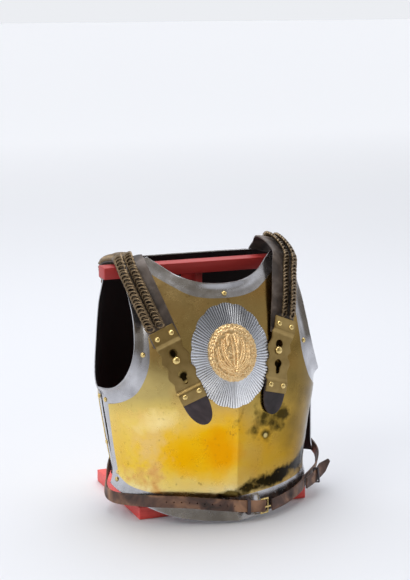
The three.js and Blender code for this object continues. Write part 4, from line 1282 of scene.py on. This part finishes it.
# %% Studs
STUDS = {"right": (-96, 279), "left": (81, 281)}
STUD_TOP = STRAP_LOW + HOOK_THICK + 1.2
STUD_NECK, STUD_HEAD = 2.3, (6.6, 4.2)
for side, (x, z) in STUDS.items():
    place, face = on_plate(False, x, z)
    shank = cylinder(STUD_NECK, STUD_TOP - ON_FACING, (0, 0, (STUD_TOP + ON_FACING) / 2), 20)
    head = dome(*STUD_HEAD)
    set_points(head, points_of(head) / MM + (0, 0, STUD_TOP))
    choose(head)
    shank.select_set(True)
    bpy.ops.object.join()
    piece = repeat_mesh("stud_head_" + side, head, [standing(place, face)])
    smooth(piece, 50)
    dress(piece, "brass", ["stud_" + side], STUD_BRASS)
    remove(head)
print("studs:", len(STUDS), "heads", 2 * STUD_HEAD[0], "across")

# %% [markdown]
# ## Belt
# The belt is 20 mm wide, sewn double, and riveted to the backplate at both sides. The long end is
# pierced at half inch steps and buckles in front, and its tail is tucked through a keeper at the
# wearer's left. A curve with a flat bevel could carry it. It is a strip laid on a run as the straps
# are, so that its holes are real and its edges can be eased.

# %% Where the belt lies
BELT_HALF, BELT_THICK, BELT_X, BELT_Y = 10, 3, 5, 20
LONG_BELT = [(-174, 26, 46), (-182, 0, 36), (-178, -26, 34), (-165, -50, 36), (-142, -82, 40),
             (-116, -103, 42), (-87, -118, 42), (-54, -130, 39), (-22, -138, 35), (16, -140, 29),
             (49, -136, 24)]
SHORT_BELT = [(211, 10, 62), (204, -10, 47), (191, -26, 38), (175, -43, 35), (156, -63, 34),
              (138, -86, 33), (114, -105, 29), (86, -121, 25), (62, -132, 23)]
BELT_TAIL = [  # each place with the way that the tail faces there
    ((152, -77, 33), (0.8, -0.55, 0)), ((168, -65, 34), (0.85, -0.5, 0)),
    ((184, -51, 36), (0.75, -0.65, 0.1)), ((197, -41, 41), (0.5, -0.85, 0.25)),
    ((209, -35, 48), (0.3, -0.95, 0.3)), ((218, -32, 54), (0.2, -0.95, 0.3)),
]
LONG_END = [(-128, 80), (-152, 70)]
SHORT_END = [(150, 98), (182, 92)]
END_LIFT = 3
HOLE_COUNT, HOLE_PITCH, HOLE_RADIUS, LAST_HOLE = 10, 12.5, 1.3, 58
print("belt:", 2 * BELT_HALF, "wide, holes:", HOLE_COUNT)


# %% Belt leather
def facing_at(place, face):
    return np.array(place, float), unit(np.array(face, float))


def belt_station(x, y, z):
    return facing_at((x, y, z), (x - BELT_X, y - BELT_Y, 0))


def belt_run(places, ends):
    fixed = [on_plate(True, x, z, END_LIFT) for x, z in ends]
    return run_of([*fixed, *[belt_station(*place) for place in places]], 240)


def belt_strip(name, node, run, half_at, columns):
    flat = strip(name, run[3], half_at, lambda part: part * 0, BELT_THICK, columns, 8, 0.8)
    if node == "belt_long":
        for i in range(HOLE_COUNT):
            spot = run[3] - LAST_HOLE - i * HOLE_PITCH
            cut(flat, cylinder(HOLE_RADIUS, 20, (spot, 0, 0), 12))
    smooth(lay(flat, run))
    dress(flat, "leather", [node], BELT_LEATHER)


def even_half(part):
    return part * 0 + BELT_HALF


def tail_half(part):
    return BELT_HALF * np.minimum(1, 0.3 + (1 - part) * 3)


long_run = belt_run(LONG_BELT, LONG_END)
short_run = belt_run(SHORT_BELT, SHORT_END)
tail_run = run_of([facing_at(*place) for place in BELT_TAIL])
belt_strip("belt_long_leather", "belt_long", long_run, even_half, 200)
belt_strip("belt_short_leather", "belt_short", short_run, even_half, 160)
belt_strip("belt_tail_leather", "belt_tail", tail_run, tail_half, 50)
print("belt lengths:", round(long_run[3]), round(short_run[3]))

# %% [markdown]
# ### Keepers, buckle and belt rivets
# A keeper is a loop of leather that holds a loose end flat. The buckle is a cast brass frame with a
# tongue of wire. Bending a wire round the belt could make either. A block with a block cut out of it
# was chosen, because both are squarish, and their bevels round them as wear does.


# %% Loops round the belt
def loop(name, place, axes, spans, thick, ease):
    """A four sided loop: an opening along the first two axes, as wide as the third span."""
    (x0, x1), (y0, y1), (z0, z1) = spans
    outer = block(name, ((x0 - thick, x1 + thick), (y0 - thick, y1 + thick), (z0, z1)), ease)
    cut(outer, block("opening", ((x0, x1), (y0, y1), (z0 - 5, z1 + 5)), min(ease, 1.0)))
    set_points(outer, points_of(outer) / MM @ np.array(axes) + np.array(place))
    edit(outer, face_out)
    smooth(outer)
    return outer


def belt_axes(place, out):
    along = unit(np.cross((0, 0, 1), out))
    return place, along, np.cross(out, along), out


BUCKLE_AT = belt_station(50, -135.5, 23.5)
print("the belt faces", BUCKLE_AT[1].round(2), "at the buckle")

# %% Keepers
KEEPERS = {"front": belt_station(16, -140, 29), "side": facing_at(*BELT_TAIL[2])}
KEEPER_ROOM, KEEPER_THICK, KEEPER_HALF = 1.6, 1.6, 3
for name, station in KEEPERS.items():
    place, along, up, out = belt_axes(*station)
    reach = BELT_HALF + KEEPER_ROOM
    spans = ((-reach, reach), (-KEEPER_ROOM, BELT_THICK + KEEPER_ROOM), (-KEEPER_HALF, KEEPER_HALF))
    keeper = loop("keeper_" + name, place, (up, out, along), spans, KEEPER_THICK, 0.5)
    dress(keeper, "dark_leather", ["belt_keeper_" + name], TIP_LEATHER)
print("keepers:", list(KEEPERS))

# %% Buckle and belt rivets
BUCKLE_LONG, BUCKLE_TALL, BUCKLE_BAR, BUCKLE_THICK, UNDER_BELT = 6, 11, 2.6, 2.4, -1.2
TONGUE_LONG, TONGUE_HALF, TONGUE_THICK = (-4, 8), 1.3, 1.6
place, along, up, out = belt_axes(*BUCKLE_AT)
spans = ((-BUCKLE_LONG, BUCKLE_LONG), (-BUCKLE_TALL, BUCKLE_TALL), (UNDER_BELT - BUCKLE_THICK, UNDER_BELT))
buckle = loop("buckle_wire", place, (along, up, out), spans, BUCKLE_BAR, 1.1)
dress(buckle, "brass", ["buckle_frame"], STUD_BRASS)
on_belt = BELT_THICK + GAP
spans = (TONGUE_LONG, (-TONGUE_HALF, TONGUE_HALF), (on_belt, on_belt + TONGUE_THICK))
tongue = block("tongue_wire", spans, 0.6)
set_points(tongue, points_of(tongue) / MM @ np.array((along, up, out)) + place)
dress(tongue, "brass", ["buckle_tongue"], STUD_BRASS)
ends = {"right": LONG_END[0], "left": SHORT_END[0]}
frames = [standing(*on_plate(True, x, z, END_LIFT + BELT_THICK)) for x, z in ends.values()]
rivets("belt_rivets", "brass", ["belt_rivet_" + side for side in ends], *STRAP_HEAD, frames, STUD_BRASS)
print("buckle:", 2 * (BUCKLE_LONG + BUCKLE_BAR), "x", 2 * (BUCKLE_TALL + BUCKLE_BAR))

# %% [markdown]
# ## Floor, sky, lights and camera
# Polished metal shows its room more than itself, so the room matters as much as the brass. A white
# paper floor runs on for metres, and far off it glows a little, as a lit backdrop does. The sky could
# be one grey. It is a studio in plain panels: bright behind, above and to the left, and darker where
# the camera stands, which is what the upper chest mirrors. The camera itself sees plain backdrop.

# %% Floor
FLOOR_WIDE = 60000
floor = grid("studio_floor", 2, 2)
set_points(floor, points_of(floor) * FLOOR_WIDE)
paper, tree, shader, place = new_material("white_floor", "#e2e4e9", 0.6)
far = add(tree, "SeparateXYZ", out="Y", Vector=place)
far = add(tree, "Math", operation="MULTIPLY", Value=far, Value_001=0.05)
glow = add(tree, "ValToRGB", Fac=far, stops=[(0.03, 0.0), (0.3, 0.34)])
fill(tree, shader, Emission_Color="#f2f4f8", Emission_Strength=glow)
floor.data.materials.append(paper)
print("floor:", FLOOR_WIDE / 1000, "m wide")

# %% Sky
BACKDROP, ROOM_DARK = "#eceef2", "#8c857a"
world = bpy.data.worlds.new("studio")
bpy.context.scene.world = world
bpy.context.scene.view_settings.view_transform = "Standard"
world.use_nodes = True
sky = world.node_tree
direction = add(sky, "TexCoord", out="Generated")
across, away, up = (add(sky, "SeparateXYZ", out=axis, Vector=direction) for axis in "XYZ")
behind = add(sky, "ValToRGB", Fac=away, stops=[(0.0, 0.0), (0.35, 1.0)])
above = add(sky, "ValToRGB", Fac=up, stops=[(0.88, 0.0), (0.96, 1.0)])
left = add(sky, "Math", operation="MULTIPLY", Value=across, Value_001=-1.0)
left = add(sky, "ValToRGB", Fac=left, stops=[(0.62, 0.0), (0.82, 1.0)])
raised = add(sky, "ValToRGB", Fac=up, stops=[(0.05, 0.3), (0.25, 1.0)])
right = add(sky, "ValToRGB", Fac=across, stops=[(0.5, 0.0), (0.8, 1.0)])
right = add(sky, "Math", operation="MULTIPLY", Value=right, Value_001=raised)
level = behind
for panel in (above, left, right):
    level = add(sky, "Math", operation="MAXIMUM", Value=level, Value_001=panel)
room = add(sky, "Mix", out=2, data_type="RGBA", Factor_Float=level, A_Color=ROOM_DARK, B_Color=BACKDROP)
seen = add(sky, "LightPath", out="Is Camera Ray")
room = add(sky, "Mix", out=2, data_type="RGBA", Factor_Float=seen, A_Color=room, B_Color=BACKDROP)
strength = add(sky, "Math", operation="MULTIPLY_ADD", Value=above, Value_001=0.8, Value_002=1.0)
fill(sky, sky.nodes["Background"], Color=room, Strength=strength)
print("sky:", len(sky.nodes), "nodes")


# %% Lights
def area_light(name, place, aim, size, power, color):
    bpy.ops.object.light_add(type="AREA", location=place)
    light = bpy.context.object
    light.name = name
    light.data.size = size
    light.data.energy = power
    light.data.color = linear(color)[:3]
    light.rotation_euler = (Vector(aim) - Vector(place)).to_track_quat("-Z", "Y").to_euler()


# Metres and watts: the key stands to the left and in front, the top light above and behind.
area_light("key", (-2.4, -1.2, 2.6), (0, 0, 0.25), 1.6, 28, "#fffdf8")
area_light("top", (0.3, 0.8, 3.0), (0, 0, 0.25), 2.4, 44, "#f8faff")
print("lights:", len(bpy.data.lights))

# %% Camera
CAMERA_AZIMUTH, CAMERA_REACH, CAMERA_HEIGHT, AIM_X, AIM_Z = -22, 2600, 884, -4, 370
SENSOR, LENS = 36, 97.2
swing = math.radians(CAMERA_AZIMUTH)
spot = Vector((AIM_X + CAMERA_REACH * math.sin(swing), -CAMERA_REACH * math.cos(swing), CAMERA_HEIGHT)) * MM
bpy.ops.object.camera_add(location=spot)
camera = bpy.context.object
camera.rotation_euler = (Vector((AIM_X, 0, AIM_Z)) * MM - spot).to_track_quat("-Z", "Y").to_euler()
camera.data.sensor_width = SENSOR
camera.data.lens = LENS
bpy.context.scene.camera = camera
print("camera at", [round(v, 3) for v in spot])
